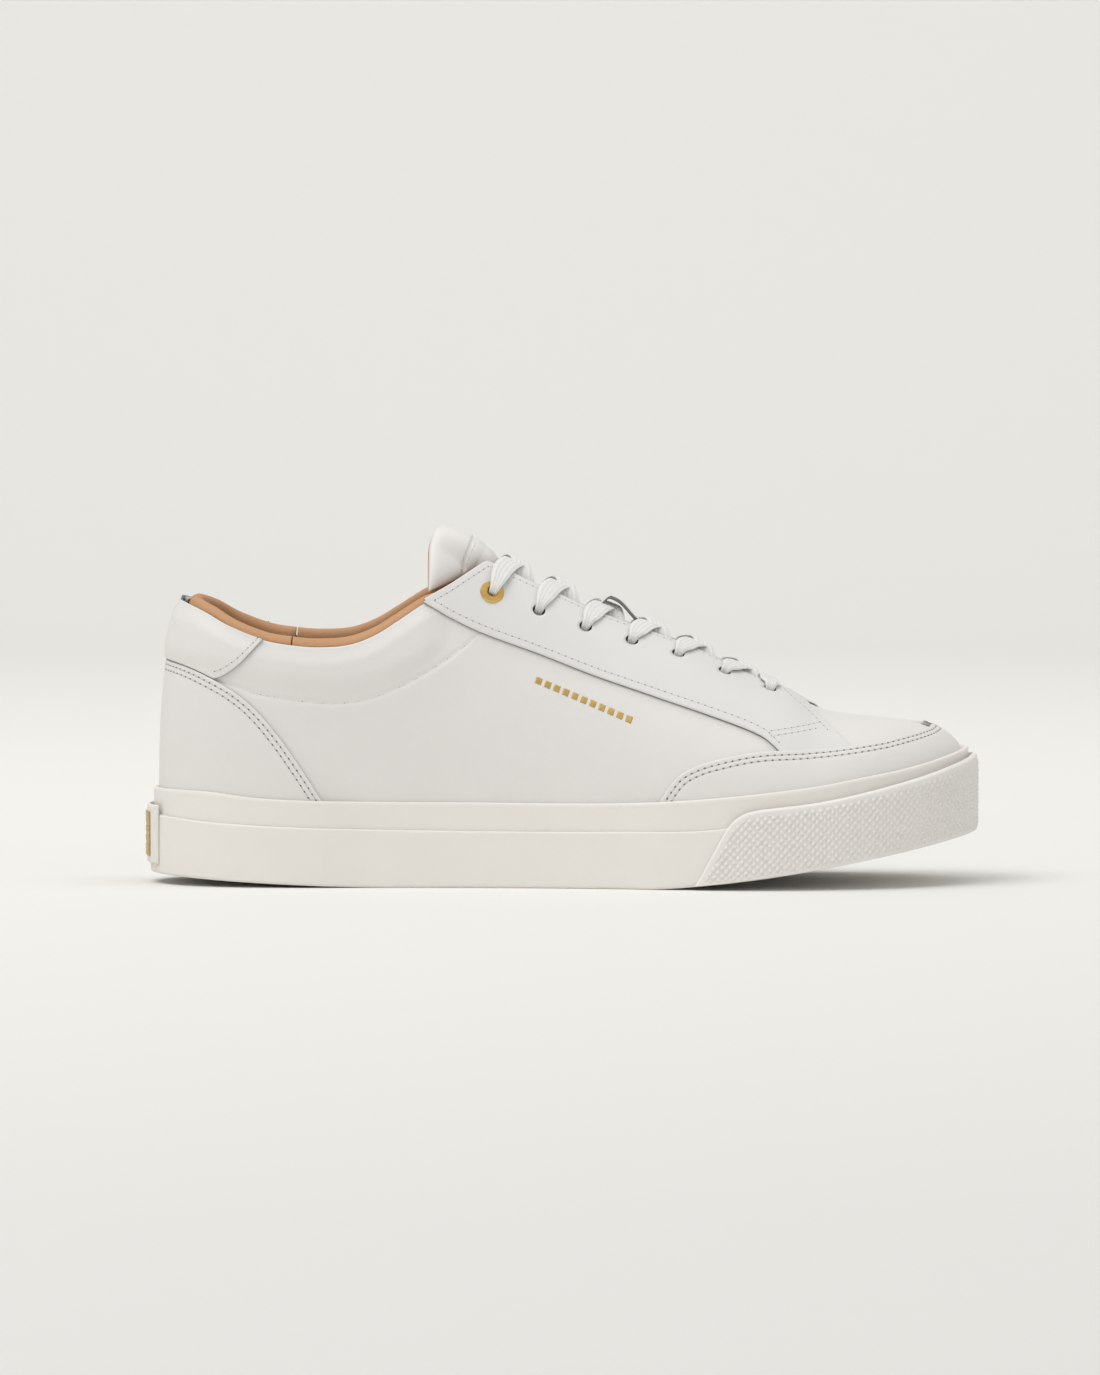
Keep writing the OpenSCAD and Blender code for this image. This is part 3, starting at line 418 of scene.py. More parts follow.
def shell(name, outer, inner, material, around=False, second=None, holes=()):
    """Closed solid between two grids of the same size (rows x columns x 3): both faces and the rim."""
    rows, cols = outer.shape[:2]
    total = rows * cols
    mid = (rows // 2, cols // 2)
    du = outer[mid[0], min(mid[1] + 1, cols - 1)] - outer[mid[0], mid[1] - 1]
    dv = outer[min(mid[0] + 1, rows - 1), mid[1]] - outer[mid[0] - 1, mid[1]]
    flip = np.dot(np.cross(du, dv), outer[mid] - inner[mid]) < 0
    front = grid_quads(rows, cols, 0, around, flip)
    back = grid_quads(rows, cols, total, around, not flip)
    idx = np.arange(total).reshape(rows, cols)
    if around:
        loops = [np.append(idx[0], idx[0, 0]), np.append(idx[-1], idx[-1, 0])[::-1]]
    else:
        loops = [np.concatenate([idx[0], idx[1:, -1], idx[-1, -2::-1], idx[-2:0:-1, 0], idx[0, :1]])]
    rim = []
    for loop in loops:
        a, b = loop[:-1], loop[1:]
        w = np.stack([b, a, a + total, b + total], axis=-1)
        rim.append(w[:, ::-1] if flip else w)
    points = np.concatenate([outer.reshape(-1, 3), inner.reshape(-1, 3)])
    faces = [front, back, np.concatenate(rim)]
    if len(holes):
        points, faces = pierce(outer, inner, faces, holes)
    if second is not None:
        second = (second, np.repeat([0, 0, 1], [len(f) for f in faces]))
    return put_mesh(name, points, np.concatenate(faces), material, second=second)


def resample(tq, count, d=0.0):
    """The same line on the last, with count places evenly spaced in true length."""
    s = lengths(skin(tq[:, 0], tq[:, 1], d))
    g = np.linspace(0, s[-1], count)
    return np.stack([np.interp(g, s, tq[:, 0]), np.interp(g, s, tq[:, 1])], axis=-1)


def soften(tq, turns):
    """Rounds a line's corners by averaging each inner place with its neighbours."""
    tq = tq.copy()
    for _ in range(turns):
        tq[1:-1] = (tq[:-2] + 2 * tq[1:-1] + tq[2:]) / 4
    return tq


def inset(tq, distance, d=0.0, left=True):
    """The line moved across the surface by a distance, to the left of its own direction or to the right:
    the step in t and q is solved from the surface's two slopes."""
    tq = tq.copy()
    turns = 3
    for _ in range(turns):
        t, q = tq[:, 0], tq[:, 1]
        p = skin(t, q, d)
        along = unit(np.gradient(p, axis=0))
        into = np.cross(last_normal(t, q), along) * (1 if left else -1) * distance / turns
        pt = (skin(t + 0.1, q, d) - skin(t - 0.1, q, d)) / 0.2
        pq = (skin(t, np.minimum(q + 0.1, 179), d) - skin(t, q - 0.1, d)) / 0.2
        a, b, c = (pt * pt).sum(-1), (pt * pq).sum(-1), (pq * pq).sum(-1)
        e, f = (pt * into).sum(-1), (pq * into).sum(-1)
        det = a * c - b * b
        det = np.where(np.abs(det) < 1e-9, 1e-9, det)
        tq = tq + np.stack([(c * e - b * f) / det, (a * f - b * e) / det], axis=-1)
    return tq


# Distances from an edge at which a panel has rows of points: close together over the rounded edge and
# over the two stitch rows, where the leather is pulled in
EDGE_ROWS = np.array([0, 0.05, 0.16, 0.32, 0.55, 0.85, 1.15, 1.45, 1.75, 2.05, 2.4, 2.8, 3.15, 3.5, 3.85,
                      4.3, 5.0])
EDGE_ROUND = 0.55
CORNER_ROWS = EDGE_ROWS[:6]
STITCH_PITCH = 2.5


def edge_drop(s):
    """How far the leather's face rolls down at a distance s from its cut edge: a quarter circle."""
    u = np.clip(EDGE_ROUND - s, 0, EDGE_ROUND)
    return EDGE_ROUND - np.sqrt(EDGE_ROUND ** 2 - u ** 2)


def stitch_dip(s, u, rows):
    """A bell-shaped groove along each stitch row, deeper at the needle holes."""
    dip = np.zeros(np.broadcast(s, u).shape)
    for row in rows:
        dip = dip + (0.13 + 0.08 * np.cos(2 * np.pi * u / STITCH_PITCH)) * np.exp(-((s - row) / 0.45) ** 2)
    return dip


def wander(p):
    """Slow unevenness of the leather: three crossed waves, about a tenth of a millimetre."""
    x, y, z = p[..., 0], p[..., 1], p[..., 2]
    return (0.07 * np.sin(x / 11.0 + z / 17.0) * np.sin(z / 9.0 + y / 13.0)
            + 0.05 * np.sin(x / 6.1 - z / 7.3 + 1.3) * np.sin(y / 8.7 + z / 12.9))


def panel(name, low, high, d_out, d_in, material, low_rows=(), high_rows=(), low_edge=False, high_edge=True,
          middle=24, relief=None, cut=None, holes=(), steps=EDGE_ROWS):
    """Leather panel between two lines on the last. Its rows run parallel to each edge that shows and are
    spaced evenly in between; rows of stitches pull the face in, and the edges are rounded."""
    cols = len(low)
    low_steps = steps if low_edge else np.array([0.0])
    high_steps = steps if high_edge else np.array([0.0])
    lows = np.stack([inset(low, s, d_out, True) if s else low for s in low_steps])
    highs = np.stack([inset(high, s, d_out, False) if s else high for s in high_steps])[::-1]
    u = np.linspace(0, 1, middle + 2)[1:-1, None, None]
    body = lows[-1][None] * (1 - u) + highs[0][None] * u
    tq = np.concatenate([lows, body, highs])
    rows = len(tq)
    far = np.full(rows, 99.0)
    s_low, s_high = far.copy(), far.copy()
    if low_edge:
        s_low[:len(low_steps)] = low_steps
    if high_edge:
        s_high[rows - len(high_steps):] = high_steps[::-1]
    t, q = tq[..., 0], tq[..., 1]
    base = skin(t, q, np.full(t.shape, d_out))
    run = lengths(base)
    d = np.full((rows, cols), float(d_out))
    d -= edge_drop(s_low)[:, None] + edge_drop(s_high)[:, None]
    d -= stitch_dip(s_low[:, None], run, low_rows) + stitch_dip(s_high[:, None], run, high_rows)
    d += wander(base)
    if relief is not None:
        d += relief(base, t)
    outer = skin(t, q, d)
    under = np.full((rows, cols), float(d_in))
    if relief is not None:
        under += relief(base, t)
    inner = skin(t, q, under)
    return shell(name, outer, inner, material, second=cut, holes=holes)


# ---------------------------------------------------------------- stitches
def thread_shape():
    """One stitch: a short round-ended bar along X, length 1 and width 1, as a small closed mesh."""
    rings, sides = 7, 6
    a = np.linspace(0, np.pi, rings)[1:-1]
    th = np.arange(sides) * 2 * np.pi / sides
    ring = np.stack([np.repeat(-np.cos(a) * 0.5, sides),
                     np.outer(np.sin(a) ** 0.5, np.cos(th)).ravel() * 0.5,
                     np.outer(np.sin(a) ** 0.5, np.sin(th)).ravel() * 0.5], axis=-1)
    points = np.concatenate([ring, [[-0.5, 0, 0], [0.5, 0, 0]]])
    n = len(a)
    quads = grid_quads(n, sides, around=True, flip=True)
    k = np.arange(sides)
    m = (k + 1) % sides
    ends = [np.stack([k, m, np.full(sides, n * sides)], -1)[:, ::-1],
            np.stack([(n - 1) * sides + k, (n - 1) * sides + m, np.full(sides, n * sides + 1)], -1)]
    tri = np.concatenate(ends)
    return points, np.concatenate([quads[:, [0, 1, 2]], quads[:, [0, 2, 3]], tri])


THREAD_POINTS, THREAD_FACES = thread_shape()


def place_bars(centres, along, up, size):
    """Copies of the stitch bar at the centres, turned to their directions. size is length, width, height."""
    across = unit(np.cross(up, along))
    up = np.cross(along, across)
    s = THREAD_POINTS * np.asarray(size)
    p = (centres[:, None] + s[None, :, 0:1] * along[:, None] + s[None, :, 1:2] * across[:, None]
         + s[None, :, 2:3] * up[:, None])
    f = THREAD_FACES[None] + (np.arange(len(centres)) * len(THREAD_POINTS))[:, None, None]
    return p.reshape(-1, 3), f.reshape(-1, 3)


def along_line(g, s, p):
    """Values of p at the lengths g, where s is the running length of its rows."""
    return np.stack([np.interp(g, s, p[:, k]) for k in range(3)], -1)


def stitch_row(tq, d, relief=None, pitch=STITCH_PITCH):
    """Bars for the threads of one stitch row and, between them, dark bars that paint the shade in the needle
    holes, along a line on the last at distance d."""
    p = skin(tq[:, 0], tq[:, 1], d)
    s = lengths(p)
    count = int(s[-1] / pitch)
    mid = (np.arange(count) + 0.5) * pitch
    gap = np.arange(count + 1) * pitch

    def spot(g):
        t, q = np.interp(g, s, tq[:, 0]), np.interp(g, s, tq[:, 1])
        n = last_normal(t, q)
        c = skin(t, q, np.full(len(g), float(d)))
        c = c + n * wander(c)[:, None]
        if relief is not None:
            c = c + n * relief(c, t)[:, None]
        ahead = along_line(g + 0.3, s, p) - along_line(g - 0.3, s, p)
        return c, unit(ahead), n
    c, a, n = spot(mid)
    threads = place_bars(c - n * 0.12, a, n, (pitch * 0.74, 0.50, 0.44))
    c, a, n = spot(gap)
    # Dark bars at the needle holes: painted shade.
    holes = place_bars(c - n * 0.10, a, n, (0.72, 0.56, 0.34))
    return threads, holes


def sew(name, rows, thread, hole):
    """All stitch rows of one panel as a single piece: threads in one finish, and in the other the dark
    needle-hole bars, painted shade.
    """
    points, faces, marks = [], [], []
    start = 0
    for row in rows:
        for kind, (p, f) in enumerate(row):
            points.append(p)
            faces.append(f + start)
            marks.append(np.full(len(f), kind))
            start += len(p)
    return put_mesh(name, np.concatenate(points), np.concatenate(faces), thread,
                    second=(hole, np.concatenate(marks)))


# ---------------------------------------------------------------- finishes
def link(tree, a, b):
    tree.links.new(a, b)


def new_group(name, inputs, outputs):
    """Empty shader group; inputs and outputs are (name, kind, default)."""
    group = bpy.data.node_groups.new(name, "ShaderNodeTree")
    for label, kind, default in inputs:
        s = group.interface.new_socket(label, in_out="INPUT", socket_type=kind)
        if default is not None:
            s.default_value = default
    for label, kind, _ in outputs:
        group.interface.new_socket(label, in_out="OUTPUT", socket_type=kind)
    return group, group.nodes.new("NodeGroupInput"), group.nodes.new("NodeGroupOutput")


def noise(tree, where, scale, detail=3.0, rough=0.55):
    n = tree.nodes.new("ShaderNodeTexNoise")
    n.inputs["Scale"].default_value = scale
    n.inputs["Detail"].default_value = detail
    n.inputs["Roughness"].default_value = rough
    link(tree, where, n.inputs["Vector"])
    return n.outputs["Fac"]


def math_node(tree, op, a, b=0.0, c=None):
    n = tree.nodes.new("ShaderNodeMath")
    n.operation = op
    for i, v in enumerate((a, b, c)):
        if v is None:
            continue
        if isinstance(v, (int, float)):
            n.inputs[i].default_value = v
        else:
            link(tree, v, n.inputs[i])
    return n.outputs[0]


def colour_mix(tree, fac, a, b, blend="MIX"):
    n = tree.nodes.new("ShaderNodeMix")
    n.data_type = "RGBA"
    n.blend_type = blend
    for socket, v in ((n.inputs[0], fac), (n.inputs[6], a), (n.inputs[7], b)):
        if isinstance(v, (int, float, tuple)):
            socket.default_value = v
        else:
            link(tree, v, socket)
    return n.outputs[2]


def make_grain_group():
    """Fine leather grain: cells about half a millimetre across with soft pores and a slow unevenness.
    Puts out a height, a tone from 0 to 1 and a roughness."""
    group, gi, go = new_group("leather_grain",
                              [("Cell", "NodeSocketFloat", 1700.0), ("Depth", "NodeSocketFloat", 1.0)],
                              [("Height", "NodeSocketFloat", None), ("Tone", "NodeSocketFloat", None),
                               ("Roughness", "NodeSocketFloat", None)])
    coord = group.nodes.new("ShaderNodeTexCoord").outputs["Object"]
    cell = group.nodes.new("ShaderNodeTexVoronoi")
    cell.feature = "SMOOTH_F1"
    cell.inputs["Smoothness"].default_value = 0.6
    link(group, coord, cell.inputs["Vector"])
    link(group, gi.outputs["Cell"], cell.inputs["Scale"])
    fine = noise(group, coord, 2600.0, 2.0)
    slow = noise(group, coord, 45.0, 3.0)
    broad = noise(group, coord, 14.0, 2.0)
    height = math_node(group, "MULTIPLY_ADD", cell.outputs["Distance"], -0.6, fine)
    height = math_node(group, "MULTIPLY", height, gi.outputs["Depth"])
    height = math_node(group, "MULTIPLY_ADD", slow, 0.8, height)
    link(group, height, go.inputs["Height"])
    tone = math_node(group, "MULTIPLY_ADD", slow, 0.5, math_node(group, "MULTIPLY", broad, 0.5))
    link(group, tone, go.inputs["Tone"])
    rough = math_node(group, "MULTIPLY_ADD", fine, 0.10, math_node(group, "MULTIPLY_ADD", slow, 0.10, 0.42))
    link(group, rough, go.inputs["Roughness"])
    return group


def make_rubber_group():
    """Moulded rubber: a very fine stipple and faint smudges. Puts out a height, a tone and a roughness."""
    group, gi, go = new_group("moulded_rubber", [("Smudge", "NodeSocketFloat", 1.0)],
                              [("Height", "NodeSocketFloat", None), ("Tone", "NodeSocketFloat", None),
                               ("Roughness", "NodeSocketFloat", None)])
    coord = group.nodes.new("ShaderNodeTexCoord").outputs["Object"]
    fine = noise(group, coord, 1500.0, 2.0)
    slow = noise(group, coord, 30.0, 4.0, 0.6)
    link(group, math_node(group, "MULTIPLY_ADD", slow, 1.2, fine), go.inputs["Height"])
    spread = math_node(group, "MULTIPLY", math_node(group, "SUBTRACT", slow, 0.5), gi.outputs["Smudge"])
    link(group, math_node(group, "ADD", spread, 0.5), go.inputs["Tone"])
    uneven = math_node(group, "MULTIPLY_ADD", slow, 0.16, 0.42)
    link(group, math_node(group, "MULTIPLY_ADD", fine, 0.08, uneven), go.inputs["Roughness"])
    return group


GRAIN = make_grain_group()
RUBBER_GROUP = make_rubber_group()


def finish_of(name, light, dark, group=None, values=(), bump=0.12, distance=0.0004, roughness=None, sheen=0.0,
              metallic=0.0):
    """Material: two tones mixed by the group's tone, its roughness and its height as a bump."""
    mat = bpy.data.materials.new(name)
    mat.use_nodes = True
    tree = mat.node_tree
    shader = tree.nodes["Principled BSDF"]
    shader.inputs["Metallic"].default_value = metallic
    shader.inputs["Sheen Weight"].default_value = sheen
    if group is None:
        shader.inputs["Base Color"].default_value = light + (1.0,)
        shader.inputs["Roughness"].default_value = 0.5 if roughness is None else roughness
        return mat, tree, shader, None
    g = tree.nodes.new("ShaderNodeGroup")
    g.node_tree = group
    for key, value in dict(values).items():
        g.inputs[key].default_value = value
    colour = colour_mix(tree, g.outputs["Tone"], dark + (1.0,), light + (1.0,))
    link(tree, colour, shader.inputs["Base Color"])
    if roughness is None:
        link(tree, g.outputs["Roughness"], shader.inputs["Roughness"])
    else:
        shader.inputs["Roughness"].default_value = roughness
    b = tree.nodes.new("ShaderNodeBump")
    b.inputs["Strength"].default_value = bump
    b.inputs["Distance"].default_value = distance
    link(tree, g.outputs["Height"], b.inputs["Height"])
    link(tree, b.outputs["Normal"], shader.inputs["Normal"])
    return mat, tree, shader, g


LEATHER = finish_of("white_leather", (0.78, 0.765, 0.74), (0.74, 0.725, 0.70), GRAIN, bump=0.11)[0]
EYESTAY_LEATHER = finish_of("eyestay_leather", (0.745, 0.735, 0.72), (0.71, 0.70, 0.685), GRAIN, bump=0.12)[0]
# Painted shade: this dark grey finish on the rim faces of the eyestays, heel tab and keeper stands in for the
# shadow that falls under the leather's cut edges.
EDGE_SHADE_PAINT = finish_of("cut_edge_painted_shade", (0.26, 0.255, 0.25), (0.15, 0.145, 0.14), GRAIN, bump=0.5,
                     roughness=0.8)[0]
# Painted shade: a lighter grey for the heel cover's rim faces, standing in for the soft shadow along its
# stepped edge.
PALE_EDGE_SHADE_PAINT = finish_of("pale_edge_painted_shade", (0.5, 0.49, 0.48), (0.4, 0.39, 0.38), GRAIN, bump=0.4,
                      roughness=0.8)[0]
RUBBER_FINISH = finish_of("white_rubber", (0.83, 0.80, 0.76), (0.79, 0.76, 0.715), RUBBER_GROUP,
                          bump=0.10)[0]
BUMPER_FINISH = finish_of("bumper_rubber", (0.84, 0.82, 0.785), (0.80, 0.775, 0.74), RUBBER_GROUP,
                          bump=0.06)[0]
TAN_LEATHER = finish_of("tan_leather", (0.60, 0.335, 0.165), (0.47, 0.245, 0.115), GRAIN,
                        {"Cell": 1100.0, "Depth": 1.6}, bump=0.25, roughness=0.62)[0]
THREAD = finish_of("white_thread", (0.70, 0.69, 0.67), (0.60, 0.59, 0.57), GRAIN, {"Cell": 3000.0}, bump=0.4,
                   roughness=0.6, sheen=0.2)[0]
# Painted shade: a dark finish for the bars sunk at the needle holes, standing in for the shade inside the
# holes.
HOLE_SHADE_PAINT = finish_of("needle_hole_painted_shade", (0.20, 0.19, 0.18), (0.15, 0.14, 0.13), GRAIN, bump=0.1,
                        roughness=0.9)[0]
TAN_THREAD = finish_of("tan_thread", (0.55, 0.33, 0.17), (0.45, 0.26, 0.13), GRAIN, {"Cell": 3000.0},
                       bump=0.4, roughness=0.6, sheen=0.2)[0]
GOLD = finish_of("gold_metal", (0.80, 0.52, 0.17), (0.70, 0.43, 0.12), RUBBER_GROUP, bump=0.04, metallic=1.0,
                 roughness=0.28)[0]
FOIL = finish_of("gold_foil", (0.72, 0.50, 0.19), (0.50, 0.33, 0.11), GRAIN, {"Cell": 1500.0}, bump=0.25,
                 metallic=1.0, roughness=0.38)[0]
PLASTIC = finish_of("tip_plastic", (0.8, 0.8, 0.78), (0.75, 0.75, 0.73), RUBBER_GROUP, bump=0.02,
                    roughness=0.25)[0]


def make_lace_finish():
    """Flat woven lace: five ribs along it crossed by slanting yarns. The piece's own map gives the distance
    along the lace and across it, in metres."""
    mat, tree, shader, _ = finish_of("white_lace", (0.84, 0.84, 0.82), (0.8, 0.8, 0.78), None, roughness=0.75,
                                     sheen=0.25)
    uv = tree.nodes.new("ShaderNodeUVMap")
    uv.uv_map = "cut"
    parts = tree.nodes.new("ShaderNodeSeparateXYZ")
    link(tree, uv.outputs["UV"], parts.inputs[0])
    along, across = parts.outputs[0], parts.outputs[1]
    rib = math_node(tree, "PINGPONG", math_node(tree, "MULTIPLY", across, 1 / 0.00078), 1.0)
    lean = math_node(tree, "ADD", math_node(tree, "MULTIPLY", along, 1 / 0.00085),
                     math_node(tree, "MULTIPLY", rib, 0.9))
    yarn = math_node(tree, "PINGPONG", lean, 0.5)
    height = math_node(tree, "MULTIPLY_ADD", rib, 0.6, yarn)
    shade = math_node(tree, "MULTIPLY_ADD", rib, 0.4, 0.35)
    tone = math_node(tree, "MINIMUM", math_node(tree, "MULTIPLY_ADD", yarn, 0.8, shade), 1.0)
    # Painted shade: the lace's colour darkens in the valleys between its ribs and between its slanting yarns.
    colour = colour_mix(tree, tone, (0.62, 0.62, 0.60, 1.0), (0.86, 0.86, 0.84, 1.0))
    link(tree, colour, shader.inputs["Base Color"])
    b = tree.nodes.new("ShaderNodeBump")
    b.inputs["Strength"].default_value = 0.7
    b.inputs["Distance"].default_value = 0.0003
    link(tree, height, b.inputs["Height"])
    link(tree, b.outputs["Normal"], shader.inputs["Normal"])
    return mat


LACE = make_lace_finish()


# ---------------------------------------------------------------- camera, light and floor
def make_stage():
    """Camera level with the outer side through a long lens, pale floor that curves up behind, soft light."""
    frame_height, look_x, look_z, distance, lift = 0.4894, -0.0044, 0.0690, 2.8, math.radians(2.6)
    cam = bpy.data.cameras.new("camera")
    cam.sensor_width = 36.0
    cam.lens = 36.0 * distance / frame_height
    cam.clip_end = 50.0
    camera = bpy.data.objects.new("camera", cam)
    bpy.context.collection.objects.link(camera)
    camera.location = (look_x, -distance * math.cos(lift), look_z + distance * math.sin(lift))
    camera.rotation_euler = (math.pi / 2 - lift, 0, 0)
    bpy.context.scene.camera = camera

    u = np.linspace(0, 1, 40)
    bend, back = 1.2, 2.0
    y = np.concatenate([[-6.0, -2.0], back + bend * np.sin(u * np.pi / 2), [back + bend]])
    z = np.concatenate([[0.0, 0.0], bend * (1 - np.cos(u * np.pi / 2)), [6.0]])
    x = np.array([-8.0, 8.0])
    grid = np.stack(np.broadcast_arrays(x[None], y[:, None], z[:, None]), -1)
    floor_finish, _, _, _ = finish_of("floor_paper", (0.83, 0.825, 0.80), (0.82, 0.815, 0.79), RUBBER_GROUP,
                                      {"Smudge": 0.3}, bump=0.0, roughness=0.9)
    floor = put_mesh("floor", grid.reshape(-1, 3) / MM, grid_quads(len(y), 2), floor_finish)

    def area(name, place, aim, size, power, colour):
        light = bpy.data.lights.new(name, "AREA")
        light.shape = "RECTANGLE"
        light.size, light.size_y = size
        light.energy = power
        light.color = colour
        o = bpy.data.objects.new(name, light)
        bpy.context.collection.objects.link(o)
        o.location = place
        direction = Vector(aim) - Vector(place)
        o.rotation_euler = direction.to_track_quat("-Z", "Y").to_euler()
    area("key", (-1.0, -1.0, 2.2), (0, 0, 0.03), (1.6, 1.6), 27.0, (1.0, 0.99, 0.975))
    area("fill", (1.8, -2.0, 1.2), (0, 0, 0.05), (2.0, 1.6), 4.0, (1.0, 0.99, 0.98))
    area("wall", (0, 0.2, 2.4), (0, 3.3, 0.75), (4.0, 1.0), 33.0, (1.0, 0.995, 0.985))
    world = bpy.data.worlds.new("studio")
    bpy.context.scene.world = world
    world.use_nodes = True
    world.node_tree.nodes["Background"].inputs[0].default_value = (0.95, 0.945, 0.935, 1.0)
    world.node_tree.nodes["Background"].inputs[1].default_value = 0.62
    bpy.context.scene.view_settings.view_transform = "Standard"


make_stage()


# ---------------------------------------------------------------- upper
LAT, MED = 1, -1
IN_BAND_Q = -3.0


def side_line(x0, x1, side, q_of, count=900):
    """Line on one side of the last from place x0 to x1, in the order in which t grows."""
    t = np.linspace(station(x0), station(x1), count) * side
    if side < 0:
        t = t[::-1]
    return np.stack([t, q_of(t)], axis=-1)


def collar_relief(p, t):
    """The padded collar swells, and its stitch line is drawn in."""
    z = p[..., 2] - rise(t)
    x = p[..., 0]
    pad = pad_share(p, t)
    top = smooth((collar_z(x) - z) / 7.0)
    line = z - at(PAD_EDGE, x)
    near = np.exp(-(line / 0.75) ** 2) * smooth((real(-27) - x) / 3)
    below = np.exp(-((line + 2.5) / 3.0) ** 2) * smooth((real(-30) - x) / 6)
    return 1.7 * pad * (0.25 + 0.75 * top) - 0.42 * near + 0.15 * below


def hole_frame(k, side):
    """Place and directions of a lace hole: x towards the toe, z outwards."""
    t = station(real(HOLE_FRONT) - k * HOLE_PITCH * LENGTH_SCALE) * side
    q = q_across(t, ROW_GAP / 2)
    p = last_point(t, q)
    z = last_normal(t, q)
    y = unit(np.cross(z, [1.0, 0, 0]))
    return p, np.cross(y, z), y, z


def lace_holes(side, widen=0.0):
    return [hole_frame(k, side) + (HOLE_R + widen,) for k in range(HOLES)]


def make_quarter(side):
    name = "quarter_lateral" if side == LAT else "quarter_medial"
    end = real(80)
    low = side_line(real(-142.2), end, side, lambda t: np.full(t.shape, IN_BAND_Q))
    high = side_line(real(-142.2), end, side,
                     lambda t: np.minimum(q_collar(t), q_throat(t, THROAT_GAP / 2 + 0.7)))
    low, high = resample(low, 330), soften(resample(high, 330), 5)
    piece = panel(name + "_leather", low, high, 0.0, -LEATHER_T, LEATHER, middle=88, relief=collar_relief,
                  holes=lace_holes(side, 0.15), steps=CORNER_ROWS)
    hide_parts(name)
    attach(piece, "shoe")
    return piece


FACING_FRONT = [[60, 90], [79, 70.3], [84, 66.0], [91, 59.8], [101, 50.0], [104.5, 46.5]]
FACING_CROSS = [[60, 53.4], [73, 54.6], [93, 57.1], [99, 57.8]]
STITCH_IN = 2.1


def facing_top(t, inside):
    """Upper edge of the eyestay at a distance inside it: up its back, along the throat and down its front."""
    front = np.where(base_x(t) < real(64), 90.0, q_edge(t, FACING_FRONT, -1.35 * inside))
    throat = q_throat(t, THROAT_GAP / 2 + inside)
    return np.minimum(np.minimum(q_collar(t, 1.4 - 1.3 * inside), throat), front)


def make_eyestay(side):
    name = "eyestay_lateral" if side == LAT else "eyestay_medial"
    low = side_line(real(-49.5), real(79.4), side, lambda t: q_edge(t, FACING_EDGE, -0.4))
    high = side_line(real(-49.5), real(104.8), side, lambda t: facing_top(t, 0.0))
    low = soften(resample(low, 300), 3)
    high = soften(resample(high, 300), 8)
    # The eyestay's rim faces take the dark edge finish, painted shade under its edges.
    piece = panel(name + "_leather", low, high, GAP + OVERLAY_T, GAP - 0.1, EYESTAY_LEATHER, low_edge=True,
                  middle=46, relief=collar_relief, cut=EDGE_SHADE_PAINT, holes=lace_holes(side), steps=CORNER_ROWS)
    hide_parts(name)
    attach(piece, "shoe")
    d = GAP + OVERLAY_T
    lower = side_line(real(-45.5), real(77.5), side, lambda t: q_edge(t, FACING_EDGE, STITCH_IN + 0.1))
    upper = side_line(real(-45.5), real(95.0), side, lambda t: facing_top(t, STITCH_IN))
    rows = [stitch_row(resample(lower, 400), d, collar_relief),
            stitch_row(soften(resample(upper, 400), 6), d, collar_relief)]
    for lift in (0.0, -1.7):
        across = side_line(real(74.0), real(92.0), side, lambda t: q_edge(t, FACING_CROSS, lift))
        rows.append(stitch_row(resample(across, 60), d))
    thread = sew(name + "_stitches", rows, THREAD, HOLE_SHADE_PAINT)
    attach(thread, "shoe")
    return piece


GUARD_ROWS = (1.8, 3.6)


def make_mudguard():
    t = np.linspace(station(real(34.5)), 360 - station(real(34.5)), 2400)
    high = resample(np.stack([t, q_guard(t)], -1), 430)
    high = soften(high, 6)
    low = np.stack([high[:, 0], np.full(len(high), IN_BAND_Q)], -1)
    piece = panel("mudguard_leather", low, high, FOLD + 0.1, GAP, LEATHER, high_rows=GUARD_ROWS, middle=22)
    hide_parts("mudguard")
    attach(piece, "shoe")
    rows = [stitch_row(inset(high, s, 1.4, False), FOLD + 0.1) for s in GUARD_ROWS]
    thread = sew("mudguard_stitches", rows, THREAD, HOLE_SHADE_PAINT)
    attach(thread, "shoe")


def make_vamp():
    """Toe leather: sections across the shoe from the seam under the eyestays to the tip, where the two sides
    of the last section are the same line."""
    cols, rows = 120, 161
    line = resample(np.stack([np.linspace(station(real(77.5)), 180, 800), np.zeros(800)], -1), cols)
    t = line[:, 0][None, :]
    q = np.linspace(IN_BAND_Q, 180 - IN_BAND_Q, rows)[:, None]
    grid_t, grid_q = np.broadcast_arrays(t, q)
    base = skin(grid_t, grid_q, np.zeros(grid_t.shape))
    outer = skin(grid_t, grid_q, wander(base))
    inner = skin(grid_t, grid_q, np.full(grid_t.shape, -LEATHER_T))
    total = rows * cols
    idx = np.arange(2 * total)
    last = np.arange(rows) * cols + cols - 1
    mirror = last[::-1]
    fold = np.minimum(last, mirror)
    idx[last] = fold
    idx[last + total] = fold + total
    front = grid_quads(rows, cols, 0, flip=False)
    back = grid_quads(rows, cols, total, flip=True)
    g = np.arange(total).reshape(rows, cols)
    loop = np.concatenate([g[-1, ::-1], g[-2:0:-1, 0], g[0, :]])
    a, b = loop[:-1], loop[1:]
    wall = np.stack([b, a, a + total, b + total], -1)
    faces = idx[np.concatenate([front, back, wall])]
    points = np.concatenate([outer.reshape(-1, 3), inner.reshape(-1, 3)])
    piece = put_mesh("vamp_leather", points, faces, LEATHER)
    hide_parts("vamp")
    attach(piece, "shoe")


HEEL_TAB_EDGE = [[-126, 72.6], [-121, 73.6], [-117, 75.6], [-113, 78.6], [-109, 82.9], [-105, 87.6],
                 [-100, 93]]


HEEL_ROWS = (1.6, 3.4)


